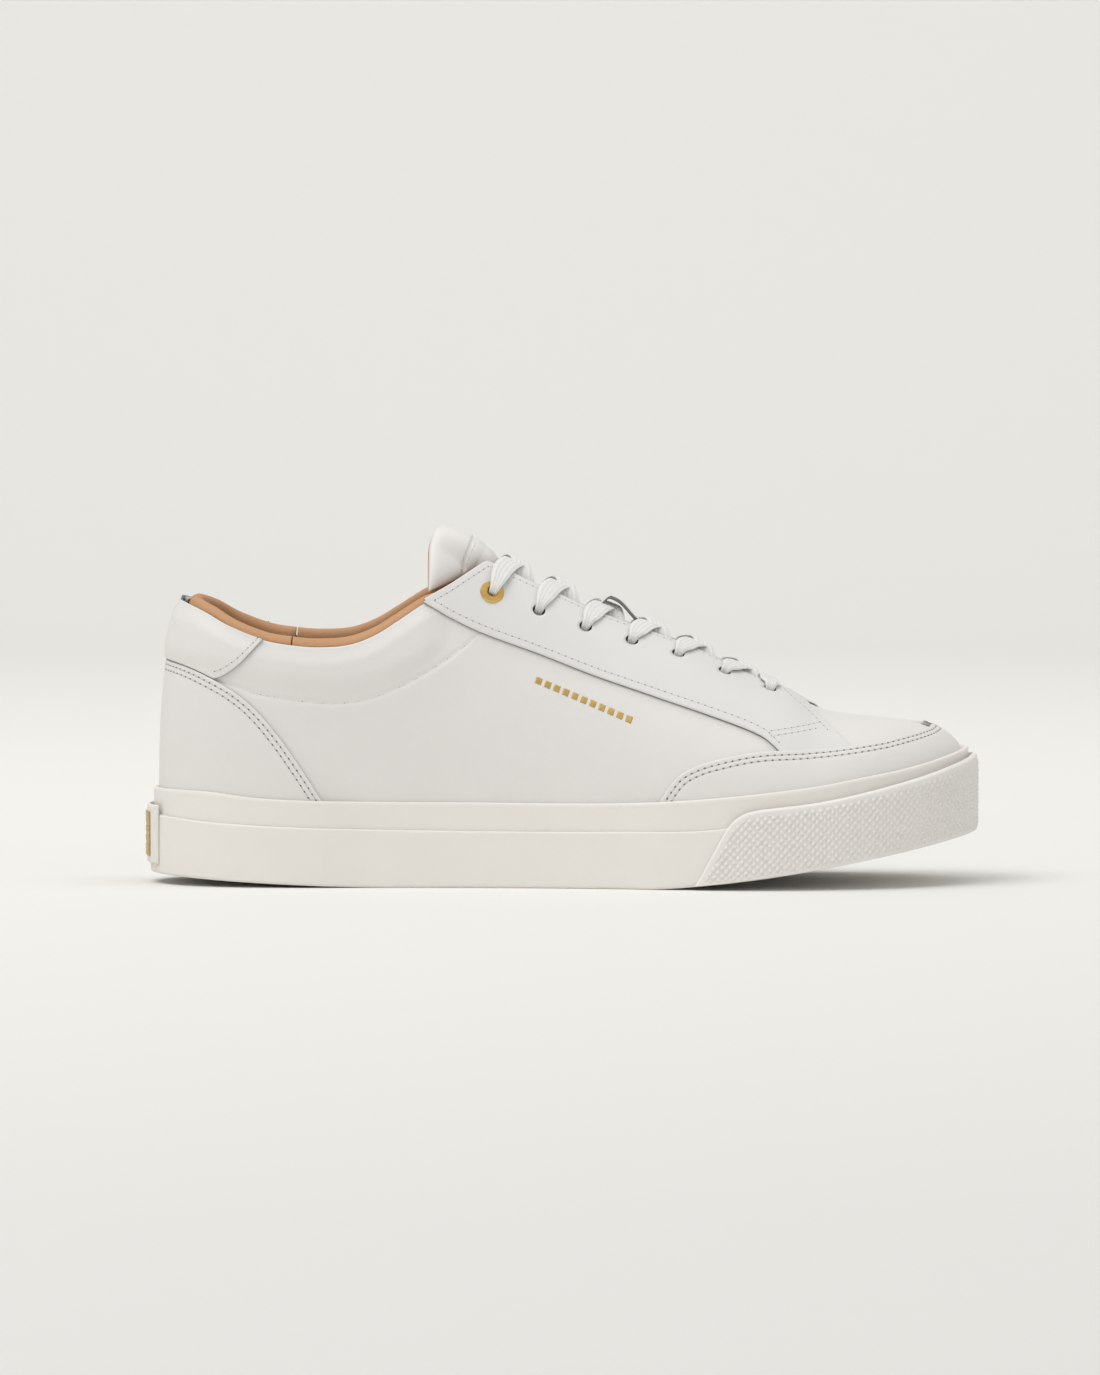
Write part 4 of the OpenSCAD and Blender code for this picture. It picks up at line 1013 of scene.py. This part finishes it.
def make_heel_pieces():
    end = float(station(real(-83.2)))
    u = np.linspace(-1, 1, 3001)
    t = end * u
    high = soften(resample(np.stack([t, q_edge(t, HEEL_COVER_EDGE)], -1), 360), 4)
    low = np.stack([high[:, 0], np.full(len(high), IN_BAND_Q)], -1)
    # The heel cover's rim faces take the grey edge finish, painted shade along its edge.
    piece = panel("heel_cover_leather", low, high, FOLD, GAP, LEATHER, high_rows=HEEL_ROWS, middle=60,
                  cut=PALE_EDGE_SHADE_PAINT)
    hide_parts("heel_cover")
    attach(piece, "shoe")
    rows = [stitch_row(inset(high, s, 1.4, False), FOLD) for s in HEEL_ROWS]

    def tab_front(t, lift=0.0):
        return q_edge(t, HEEL_TAB_EDGE, lift)
    reach = np.linspace(station(real(-112)), station(real(-100)), 400)
    end = float(reach[np.argmin(np.abs(tab_front(reach) - q_collar(reach, 0.2)))])
    t = end * u
    low = np.maximum(q_edge(t, HEEL_COVER_EDGE, 0.3), tab_front(t))
    low = soften(resample(np.stack([t, low], -1), 300), 3)
    high = np.stack([low[:, 0], np.maximum(q_collar(low[:, 0], 0.3), low[:, 1] + 0.02)], -1)
    # The heel tab's rim faces take the dark edge finish, painted shade under its edges.
    piece = panel("heel_tab_leather", low, high, FOLD, GAP, LEATHER, low_edge=True, high_edge=False,
                  middle=40, relief=collar_relief, cut=EDGE_SHADE_PAINT, steps=CORNER_ROWS[:4])
    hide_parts("heel_tab")
    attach(piece, "shoe")
    for side in (LAT, MED):
        line = side_line(real(-123.5), real(-108.3), side, lambda t: tab_front(t, 2.4))
        rows.append(stitch_row(resample(line, 120), FOLD, collar_relief))
    thread = sew("heel_stitches", rows, THREAD, HOLE_SHADE_PAINT)
    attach(thread, "shoe")


def make_pad_stitches():
    """The collar's stitch line, from the heel tab to the eyestay on both sides."""
    rows = []
    for side in (LAT, MED):
        line = side_line(real(-121.5), real(-29.5), side, lambda t: q_edge(t, PAD_EDGE))
        rows.append(stitch_row(resample(line, 400), 0.0, collar_relief))
    thread = sew("collar_stitches", rows, THREAD, HOLE_SHADE_PAINT)
    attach(thread, "shoe")


for each_side in (LAT, MED):
    make_eyestay(each_side)
    make_quarter(each_side)
make_mudguard()
make_vamp()
make_heel_pieces()
make_pad_stitches()


# ---------------------------------------------------------------- lining, sockliner and tongue
def lining_share(t):
    """How far the collar is padded at a station: 1 round the heel and ankle, 0 forward of the collar."""
    return smooth((real(-38) - base_x(t)) / 12)


SEAM_FAR = 99


def make_lining(name, t, nodes):
    """Lining of one part of the upper: up the inner face, over the collar in a half-round roll and down to
    the back of the leather's edge. Distances run across the upper, from the leather's outer face."""
    share = lining_share(t)[None]
    foot = np.linspace(0, 1, 60)[:, None]
    deep = mix(LINING_IN, LINING_IN - COLLAR_FOAM + 1.3, share)
    q_low, q_high = np.full(t.shape, -9.5)[None], q_collar(t, -4.0)[None]
    q_high = np.minimum(q_high, q_throat(t, THROAT_GAP / 2 + 5)[None])
    q_in = mix(q_low, q_high, foot)
    p = last_point(*np.broadcast_arrays(t[None], q_in))
    d_in = mix(LINING_IN, deep, pad_share(p, t[None]))
    a = np.linspace(np.pi, 0.06, 22)[:, None]
    edge = -LEATHER_T - 0.05
    half = (edge - deep) / 2
    lift = -0.6 + mix(1.2, COLLAR_ROLL + 0.9, share) * np.sin(a) ** 0.9
    q_roll = q_where(np.broadcast_to(t[None], lift.shape), lambda x: collar_z(x) + rise(t)[None] + lift)
    q_roll = np.minimum(q_roll, q_throat(t, THROAT_GAP / 2 + 1.2 + 2 * (1 - np.sin(a))))
    d_roll = edge - half + half * np.cos(a)
    q_all, d_all = np.concatenate([q_in, q_roll]), np.concatenate([d_in, d_roll])
    tt = np.broadcast_to(t[None], q_all.shape)
    seam = np.minimum(lengths(skin(tt, q_all, d_all)), SEAM_FAR)
    away = np.minimum(seam, seam[:, -1:] - seam)
    dip = 0.8 * np.exp(-(away / 1.1) ** 2)
    rows = np.arange(len(q_all))
    turn = np.concatenate([np.zeros(60), np.linspace(0, 1, 22)])[:, None]
    base = skin(tt, q_all, d_all + dip * (1 - turn))
    face = skin(tt, q_all, d_all + dip * (1 - turn) + 0.5 * wander(base * 1.7))
    back_d = np.where(rows[:, None] < 60, d_all + 1.0, mix(d_all + 1.0, d_all, turn) - 0.3 * turn)
    back = skin(tt, np.where(turn > 0, q_all - 1.0 * np.sin(np.pi * turn), q_all), back_d)
    piece = shell(name, face, back, TAN_LEATHER)
    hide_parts(*nodes)
    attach(piece, "shoe")
    return piece


def make_linings():
    seam = station(real(-97))
    front = station(real(78))
    ts = np.linspace(-seam + 0.12, seam - 0.12, 240)
    make_lining("heel_lining_leather", ts, ["heel_lining", "collar_foam"])
    ts = np.linspace(seam + 0.12, front, 260)
    make_lining("quarter_lining_lateral_leather", ts, ["quarter_lining_lateral"])
    make_lining("quarter_lining_medial_leather", -ts[::-1], ["quarter_lining_medial"])
    rows = []
    for side in (LAT, MED):
        for step in (-0.9, 0.9):
            q = np.linspace(20, float(q_collar(np.array(side * seam), -2.0)), 300)
            t = np.full(300, float(side * (seam + step)))
            depth = LINING_IN - COLLAR_FOAM + 1.3
            threads, holes = stitch_row(np.stack([t, q], -1), depth - 0.05, None, 2.6)
            rows.append((threads, holes))
    thread = sew("lining_stitches", rows, TAN_THREAD, HOLE_SHADE_PAINT)
    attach(thread, "shoe")


def fold_share(t):
    r = ref(base_x(t))
    return FOLD * np.clip(np.maximum(-84 + 14 - r, r - 36 + 14) / 14, 0, 1)


def outline_at(t, d):
    """Outline seen from above at distance d, as points with a third column of zeros."""
    n = last_normal(t, 2.0)
    h = unit(np.concatenate([n[..., :2], np.zeros(n.shape[:-1] + (1,))], -1))
    p = np.stack([base_x(t), base_y(t), np.zeros_like(np.asarray(t, float))], -1)
    return p + np.asarray(d, float)[..., None] * h


SOCKLINER_T = 4.5


def make_sockliner():
    """Cushioned insole: the outline shrunk towards the centre line in rings, its edge turned up a little."""
    t = np.linspace(-180, 180, 361)[:-1]
    edge = outline_at(t, np.full(t.shape, LINING_IN - 0.3))
    spine_x = np.clip(edge[:, 0], real(-116), real(108))
    spine = np.stack([spine_x, centre_y(spine_x), np.zeros_like(t)], -1)
    u = np.concatenate([np.linspace(0, 0.8, 16), np.linspace(0.84, 1, 8)])[:, None, None]
    top = mix(spine[None], edge[None], u)
    x = top[..., 0]
    floor_z = feather_z(x) + 2.0 + GAP
    w = u[..., 0]
    rim = 1.6 * smooth((w - 0.72) / 0.28) - 1.4 * np.clip((w - 0.95) / 0.05, 0, 1) ** 2
    top[..., 2] = floor_z + SOCKLINER_T + rim
    low = top.copy()
    low[..., 2] = floor_z
    piece = shell("sockliner_pad", top[::-1], low[::-1], TAN_LEATHER, around=True)
    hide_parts("sockliner")
    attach(piece, "shoe")


TONGUE_HALF = [[-48, 27], [-20, 26], [30, 23], [77, 19]]
TONGUE_THICK = 5.7
FREE_HALF = 9.5
TONGUE_SWELL = [[-47, 0], [-43, 1.6], [-38, 3.4], [-32, 5.0], [-27, 4.8], [-23, 3.0], [-19, 1.0], [-15, 0]]


def tongue_grid(t, v, depth):
    """Point of the tongue: t along it, v from -1 at its outer side to 1 at its inner side, depth 0 on the
    leather and 1 on the lining. It swells like a pillow: full in the middle, thin at its sides and end."""
    x = base_x(t)
    q_side = q_throat(t, at(TONGUE_HALF, x) / LENGTH_SCALE)
    free = np.minimum(np.maximum(q_side, q_collar(t, 4.0)), np.maximum(q_side, q_throat(t, FREE_HALF)))
    q_side = mix(free, q_side, smooth((x - real(-27)) / 7))
    q = mix(q_side, 90, 1 - np.abs(v))
    q = np.where(v > 0, 180 - q, q)
    centre = np.clip(1 - np.abs(q - 90) / 20, 0, 1)
    face = TONGUE_OUT + TONGUE_CROWN * smooth(centre)
    up = 4.5 * np.clip((station(BEND_X) - t) / (station(BEND_X) - station(real(-46.5))), 0, 1)
    up = up + at(TONGUE_SWELL, x) * smooth(centre * 1.6)
    end = np.clip((x - real(-47.2)) / 5.0, 0, 1)
    plump = np.sqrt(np.clip(1 - np.abs(v) ** 8, 0, 1)) * np.sqrt(np.clip(1 - (1 - end) ** 2.4, 0, 1))
    seam = 0.55 * np.exp(-((x - real(-33.5)) / 0.9) ** 2)
    d = face + up - TONGUE_THICK * depth
    mid = face + up - 0.52 * TONGUE_THICK
    return skin(t, q, mid + (d - mid) * (0.12 + 0.88 * plump) - seam * (1 - depth))


def make_tongue():
    t = np.linspace(station(real(-47.0)), station(real(77.5)), 300)
    v = np.sin(np.linspace(-np.pi / 2, np.pi / 2, 75))
    tt, vv = np.meshgrid(t, v)
    levels = [(0.0, 0.52, LEATHER, "tongue_cover", ["tongue_leather", "tongue_top_leather", "tongue_foam",
                                                   "tongue_top_foam"], "white_leather"),
              (1.0, 0.54, TAN_LEATHER, "tongue_lining_leather", ["tongue_lining", "tongue_top_lining"],
               "tan_leather")]
    for face, back, finish, name, nodes, slot in levels:
        outer = tongue_grid(tt, vv, face)
        uneven = 0.8 * wander(outer) * (1 if face else -1)
        outer = outer + last_normal(tt, np.full(tt.shape, 80.0)) * uneven[..., None]
        piece = shell(name, outer, tongue_grid(tt, vv, back), finish)
        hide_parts(*nodes)
        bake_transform(piece)
    run = np.linspace(-0.86, 0.86, 300)
    rows = []
    for x in (-32.6, -34.4):
        t0 = np.full(300, float(station(real(x))))
        p = tongue_grid(t0, run, 0.0)
        rows.append(free_row(p, unit(np.cross(np.gradient(p, axis=0), np.array([-1.0, 0, 0.2]))), 2.7))
    thread = sew("tongue_stitches", rows, THREAD, HOLE_SHADE_PAINT)
    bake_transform(thread)


def free_row(p, n, pitch):
    """Stitches along any line of points p with outward directions n."""
    n = n * np.sign(n[..., 2:3] + 1e-9)
    s = lengths(p)
    count = int(s[-1] / pitch)

    def spot(g):
        c = along_line(g, s, p)
        ahead = along_line(g + 0.3, s, p) - along_line(g - 0.3, s, p)
        return c, unit(ahead), unit(along_line(g, s, n))
    c, a, m = spot((np.arange(count) + 0.5) * pitch)
    threads = place_bars(c - m * 0.1, a, m, (pitch * 0.8, 0.52, 0.46))
    c, a, m = spot(np.arange(count + 1) * pitch)
    # The needle holes: dark bars that paint the shade in them.
    return threads, place_bars(c - m * 0.2, a, m, (0.62, 0.46, 0.3))


def make_keeper():
    """Strap across the tongue's middle: both feet flat on the tongue, its middle arched over the laces."""
    r = np.linspace(8, 32.5, 90)
    foot = smooth((r - 11) / 4.5) * mix(1.0, 0.42, smooth((r - 17) / 12)) * smooth((31.5 - r) / 2.5)
    t = station(real(r))
    d = TONGUE_OUT + TONGUE_CROWN + 0.1 + 7.7 * foot
    low = skin(t, np.full(t.shape, 90.0), d)
    high = skin(t, np.full(t.shape, 90.0), d + 1.2)
    y = centre_y(real(20)) + np.linspace(-5.5, 5.5, 17)
    dome = -0.25 * (np.linspace(-1, 1, 17) ** 4)
    def wide(p):
        g = np.repeat(p[None], 17, 0)
        g[..., 1] = y[:, None]
        g[..., 2] += dome[:, None]
        return g
    # The keeper's rim faces take the dark edge finish, painted shade under its edges.
    piece = shell("lace_keeper_strap", wide(high), wide(low), EYESTAY_LEATHER, second=EDGE_SHADE_PAINT)
    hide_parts("lace_keeper")
    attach(piece, "shoe")


# ---------------------------------------------------------------- lace: the route is the CAD model's
LACE_CLEAR = 0.6
OVER_CLEAR = 0.15
LACE_UNDER = LINING_IN - LACE_CLEAR - LACE_T / 2
OVERLAY_OUT = GAP + OVERLAY_T
LACE_OVER = OVERLAY_OUT + OVER_CLEAR + LACE_T / 2
IN_HOLE = -0.8
BAR_ROWS = [[0.04, 1.1, 0.3], [0.14, 1, 1], [0.3, 0.9, 1], [0.5, 0.8, 1]]
TUCK_ROWS = [[0, 64, 0.3, 0], [1, 56, 0.4, 0.6], [3, 49, 0.35, 1], [8, 42, 0.35, 1], [16, 36, 0.5, 1],
             [25, 32, 1.2, 0.8], [32, 31, 2, 0.3]]
TURN_LENGTH = 16.0
EYELET_RISE = 0.9
FRONT_RISE = [0.4, 0.25]


def hole_x(k):
    return real(HOLE_FRONT) - k * HOLE_PITCH * LENGTH_SCALE


def across_point(x, y, d):
    t = station(x) * (1 if y < 0 else -1)
    return skin(t, q_throat(t, abs(y)), d)


def run_at(x, y):
    return unit(across_point(x + 3, y, 0.0) - across_point(x - 3, y, 0.0))


def lace_row(x, y, d, flatness):
    """Row of the route: place, direction of the lace's width, and how far it is spread flat."""
    return across_point(x, y, d), run_at(x, y), flatness


def strand(k, side):
    s = side * (1 if k % 2 == 0 else -1)
    lift = EYELET_RISE if k == HOLES - 2 else 0
    front = FRONT_RISE[k] if k < len(FRONT_RISE) else 0
    last = [0.99, LACE_OVER + 0.1 + lift, 0.1] if lift else [0.965, LACE_OVER + 0.1, 0.2]
    table = [[0, LACE_UNDER, 0.2], [0.12, LACE_UNDER + front, 1], [0.21, LACE_UNDER + 0.3 + 1.4 * front, 1],
             [0.31, -1.3, 1], [0.4, 0.8 + s * 0.4, 1], [0.5, 1.9 + s * 0.8, 1], [0.62, 2.2 + s * 0.3, 1],
             [0.78, LACE_OVER + 0.1, 1], [0.89, LACE_OVER + 0.2 + lift, 0.8], last, [1, IN_HOLE, 0]]
    return [lace_row(mix(hole_x(k), hole_x(k + 1), a), -s * ROW_GAP / 2 * (1 - 2 * a), d, f)
            for a, d, f in table]


def tuck(side):
    rows = []
    for x, q, drop, f in TUCK_ROWS:
        t = station(hole_x(HOLES - 1) + x) * side
        q = q_throat(t, ROW_GAP / 2) if x == 0 else q
        climb = unit(skin(t, q + 4, 0.0) - skin(t, q - 4, 0.0))
        run = run_at(hole_x(HOLES - 1) + x, -side * ROW_GAP / 2)
        rows.append((skin(t, q, LACE_UNDER - drop), mix(run, climb, min(x / TURN_LENGTH, 1)), f))
    return rows


def half_lace(side):
    rows = [lace_row(hole_x(0), -side * ROW_GAP / 2, IN_HOLE, 0)]
    for k in range(HOLES - 1):
        rows += strand(k, side)
    return rows + tuck(side * (1 if HOLES % 2 == 1 else -1))


def front_bar(side):
    return [lace_row(hole_x(0), -side * ROW_GAP / 2 * (1 - 2 * a), d * LACE_OVER, f) for a, d, f in BAR_ROWS]


def make_lace():
    """Flat ribbon swept along a smooth curve through the CAD route's points. Its section is a flat oval with
    five shallow ribs; where it enters a hole it gathers into a narrow bundle."""
    b, c = front_bar(MED), front_bar(LAT)
    rows = half_lace(MED)[::-1] + b + c[:-1][::-1] + half_lace(LAT)
    p = np.array([r[0] for r in rows])
    w = np.array([r[1] for r in rows], float)
    f = np.array([r[2] for r in rows], float)
    s = lengths(p)
    steps = np.linspace(0, s[-1], int(s[-1] / 0.7))
    tables = [curve(np.stack([s, col], -1), steps) for col in (*p.T, *w.T)]
    p = np.stack(tables[:3], -1)
    w = np.stack(tables[3:], -1)
    f = np.clip(curve(np.stack([s, f], -1), steps), 0, 1)
    run = unit(np.gradient(p, axis=0))
    w = unit(w - (w * run).sum(-1, keepdims=True) * run)
    up = np.cross(w, run)
    n = 36
    a = np.arange(n) * 2 * np.pi / n
    cx = np.sign(np.cos(a)) * np.abs(np.cos(a)) ** 0.55 / 2
    cy = np.sign(np.sin(a)) * np.abs(np.sin(a)) ** 0.75 / 2
    ribs = 1 - 0.16 * (0.5 - 0.5 * np.cos(2 * np.pi * 5 * (cx + 0.5)))
    wide, thick = mix(3.0, LACE_W, f), mix(1.8, LACE_T, f)
    g = (p[:, None] + (wide[:, None] * cx[None])[..., None] * w[:, None]
         + (thick[:, None] * (cy * ribs)[None])[..., None] * up[:, None])
    across = (cx + 0.5) * LACE_W
    uv = np.stack([np.repeat(lengths(p)[:, None], n, 1), np.repeat(across[None], len(p), 0)], -1)
    faces = grid_quads(len(p), n, around=True)
    start, end = np.arange(n)[None, ::-1], (np.arange(n) + (len(p) - 1) * n)[None]
    piece = put_mesh("lace_ribbon", g.reshape(-1, 3), [faces, start, end], LACE, uv.reshape(-1, 2))
    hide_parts("lace")
    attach(piece, "shoe")


# ---------------------------------------------------------------- rubber
def band(name, t, section, finish):
    """Ring of rubber: section(t) gives the (rows x columns) distance and height of its closed cross-section,
    whose first row follows on from its last."""
    d, z = section(t)
    p = outline_at(np.broadcast_to(t[None], d.shape), d + fold_share(t)[None])
    p[..., 2] = z
    rows, cols = d.shape
    faces = grid_quads(rows + 1, cols, around=True) % (rows * cols)
    piece = put_mesh(name, p.reshape(-1, 3), faces, finish)
    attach(piece, "shoe")
    return piece


def band_section(d0, d1, low, high, round_top, bead=0.0):
    """Cross-section of a band: up its outer face, round its top edge and down its inner face."""
    def section(t):
        x = base_x(t)
        z0, z1 = low(x)[None], high(x)[None]
        a = np.linspace(0, np.pi / 2, 7)[:, None]
        face = np.linspace(0, 1, 26)[:, None]
        zf = mix(z0 + 0.4, z1 - round_top, face)
        lip = bead * np.exp(-((z1 - zf - 0.9) / 0.55) ** 2)
        df = d1 + lip + 0.03 * np.sin(x / 9.0 + zf / 3.0)
        zt = z1 - round_top + round_top * np.sin(a)
        dt = d1 - round_top * (1 - np.cos(a))
        d = np.concatenate([np.full((1, len(t)), d1 - 0.4), df, dt[1:] + 0 * z0, np.full((2, len(t)), d0)])
        z = np.concatenate([z0, zf, zt[1:], z1, z0])
        return d, z
    return section


def make_bands():
    t = np.linspace(-180, 180, 1081)[:-1]
    upper = band_section(INNER_FACE, INNER_FACE + INNER_BAND_T, bottom_z, inner_band_z, 0.5, 0.28)
    lower = band_section(OUTER_FACE, OUTER_FACE + OUTER_BAND_T, bottom_z, outer_band_z, 0.7)
    piece = band("upper_strip", t, upper, RUBBER_FINISH)
    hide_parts("inner_band")
    piece = band("lower_strip", t, lower, RUBBER_FINISH)
    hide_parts("outer_band")


BUMPER_BACK = [[47, 1.0], [49.5, 5], [57.8, 20.5], [61, 24.6], [65, 27.2], [69.2, 28.3]]
BUMPER_TOP = [[69.2, 28.3], [92.4, 31.4], [119.7, 37.9], [138.6, 44], [145, 47]]
DIAMOND = 2.8


def bumper_top(x):
    r = ref(x)
    return np.where(r < 69.2, curve(BUMPER_BACK, r), curve(BUMPER_TOP, r))


GUARD_COLS = 760


def make_bumper():
    """Toe guard: moulded diamonds, min of two crossed triangle waves in the distance along the wall and the
    height, which die away into a smooth rim."""
    start = station(real(47.4))
    line = resample(np.stack([np.linspace(start, 360 - start, 3000), np.zeros(3000)], -1), GUARD_COLS)
    t = line[:, 0]
    x = base_x(t)
    z0 = bottom_z(x) + 0.3
    z1 = np.maximum(bumper_top(x), z0 + 0.4)
    u = np.linspace(0, 1, 66)[:, None]
    z = mix(z0[None], z1[None], u)
    wall = outline_at(t, np.full(t.shape, TRIM_FACE + BUMPER_T) + fold_share(t))
    s = lengths(wall)[None]
    slope = np.gradient(z1, s[0])
    to_top = (z1[None] - z) / np.sqrt(1 + slope[None] ** 2)
    to_side = np.minimum(s, s[:, -1:] - s)
    rim = np.minimum(np.minimum(to_top, z - z0[None] + 1.2), to_side)

    def wave(v):
        return 1 - np.abs(2 * (v - np.floor(v)) - 1)
    h = z - bottom_z(x)[None]
    peak = np.minimum(wave((s + h) / DIAMOND), wave((s - h) / DIAMOND))
    share = smooth((rim - 2.1) / 0.5)
    edge = np.clip(1 - rim / 1.1, 0, 1)
    thick = BUMPER_T - 1.15
    d = TRIM_FACE + thick + 0.25 * (1 - share) + 1.05 * peak * share - (1 - np.sqrt(1 - edge ** 2)) * 1.3
    outer = outline_at(np.broadcast_to(t[None], d.shape), d + fold_share(t)[None])
    outer[..., 2] = z
    inner = outline_at(np.broadcast_to(t[None], d.shape), np.full(d.shape, TRIM_FACE) + fold_share(t)[None])
    inner[..., 2] = z
    piece = shell("toe_guard", outer, inner, BUMPER_FINISH)
    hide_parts("toe_bumper")
    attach(piece, "shoe")


def heel_plate(name, node, d0, d1, width, z0, z1, finish, relief=None):
    """Plate on the heel with rounded edges, between two heights and a distance apart across the heel."""
    half = width / 2
    tt = np.linspace(-60, 60, 2401)
    ys = outline_at(tt, np.full(tt.shape, d1) + fold_share(tt))[:, 1]
    y = np.linspace(half, -half, 81)
    t = np.interp(y[::-1], ys[::-1], tt[::-1])[::-1]
    u = np.linspace(0, 1, 61)
    z = mix(z0, z1, u)[:, None] + 0 * t[None]
    gap = np.minimum(np.minimum(z - z0, z1 - z), (half - np.abs(y))[None])
    edge = np.clip(1 - gap / 0.6, 0, 1)
    d = d1 - (1 - np.sqrt(1 - edge ** 2)) * min(0.6, (d1 - d0) * 0.7) + 0 * z
    if relief is not None:
        d = d + relief(z)
    outer = outline_at(np.broadcast_to(t[None], d.shape), d + fold_share(t)[None])
    outer[..., 2] = z
    inner = outline_at(np.broadcast_to(t[None], d.shape), np.full(d.shape, d0) + fold_share(t)[None])
    inner[..., 2] = z
    piece = shell(name, outer, inner, finish)
    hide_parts(node)
    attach(piece, "shoe")
    return piece


BADGE_T = 0.4
BADGE_INSET = 2.6
GROOVE_DEPTH = 0.16


def make_heel_label():
    low, high = 7.0, 28.0
    label_face = TRIM_FACE + LABEL_T + GAP
    heel_plate("heel_label_rubber", "heel_label", TRIM_FACE, TRIM_FACE + LABEL_T, 31.0, low, high,
               RUBBER_FINISH)

    def bars(z):
        """Three plain grooves across the badge."""
        v = (z - low - BADGE_INSET) / (high - low - 2 * BADGE_INSET)
        return -GROOVE_DEPTH * sum(np.abs(v - place) < 0.04 for place in (0.3, 0.5, 0.7))
    heel_plate("heel_badge_foil", "heel_badge", label_face, label_face + BADGE_T, 20.0, low + BADGE_INSET,
               high - BADGE_INSET, FOIL, relief=bars)


def make_side_mark():
    """Plain gold foil dashes on the outer side, in place of any lettering."""
    points, faces, start = [], [], 0
    count, first, last = 11, (-9.5, 73.2), (25.5, 58.6)
    for k in range(count):
        u0, u1 = (k + 0.12) / count, (k + 0.78) / count
        xs = mix(first[0], last[0], np.array([u0, u1]))
        zs = mix(first[1], last[1], np.array([u0, u1]))
        s, h = np.meshgrid(np.linspace(0, 1, 9), np.linspace(-1.1, 1.1, 7))
        x = real(mix(xs[0], xs[1], s) + 0.35 * h)
        z = mix(zs[0], zs[1], s) + h
        t = station(x)
        q = q_where(t, lambda v: z)
        for _ in range(3):
            p = last_point(t, q)
            t = station(base_x(t) + x - p[..., 0])
            q = q_where(t, lambda v: z)
        top = skin(t, q, np.full(t.shape, 0.10))
        top += last_normal(t, q) * wander(top)[..., None]
        under = skin(t, q, np.full(t.shape, -0.15))
        rows, cols = t.shape
        total = rows * cols
        front = grid_quads(rows, cols, 0, flip=False)
        idx = np.arange(total).reshape(rows, cols)
        loop = np.concatenate([idx[0], idx[1:, -1], idx[-1, -2::-1], idx[-2:0:-1, 0], idx[0, :1]])
        a, b = loop[:-1], loop[1:]
        wall = np.stack([b, a, a + total, b + total], axis=-1)
        points += [top.reshape(-1, 3), under.reshape(-1, 3)]
        faces.append(np.concatenate([front, grid_quads(rows, cols, total, flip=True), wall]) + start)
        start += 2 * total
    piece = put_mesh("side_mark", np.concatenate(points), np.concatenate(faces), FOIL)
    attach(piece, "shoe")


make_linings()
make_sockliner()
make_tongue()
make_keeper()
make_lace()
make_bands()
make_bumper()
make_heel_label()
make_side_mark()

# CAD nodes that stay as they are, each in the finish of what it is made of
for finish, names in ((GOLD, ("top_eyelet_lateral", "top_eyelet_medial", "eyelet_washer_lateral",
                              "eyelet_washer_medial")),
                      (RUBBER_FINISH, ("outsole", "midsole")),
                      (TAN_LEATHER, ("vamp_lining", "insole_board", "toe_puff", "heel_stiffener",
                                     "eyestay_backer_lateral", "eyestay_backer_medial")),
                      (PLASTIC, ("lace_tip_lateral", "lace_tip_medial"))):
    for name in names:
        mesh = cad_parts[name].data
        mesh.materials.clear()
        mesh.materials.append(finish)
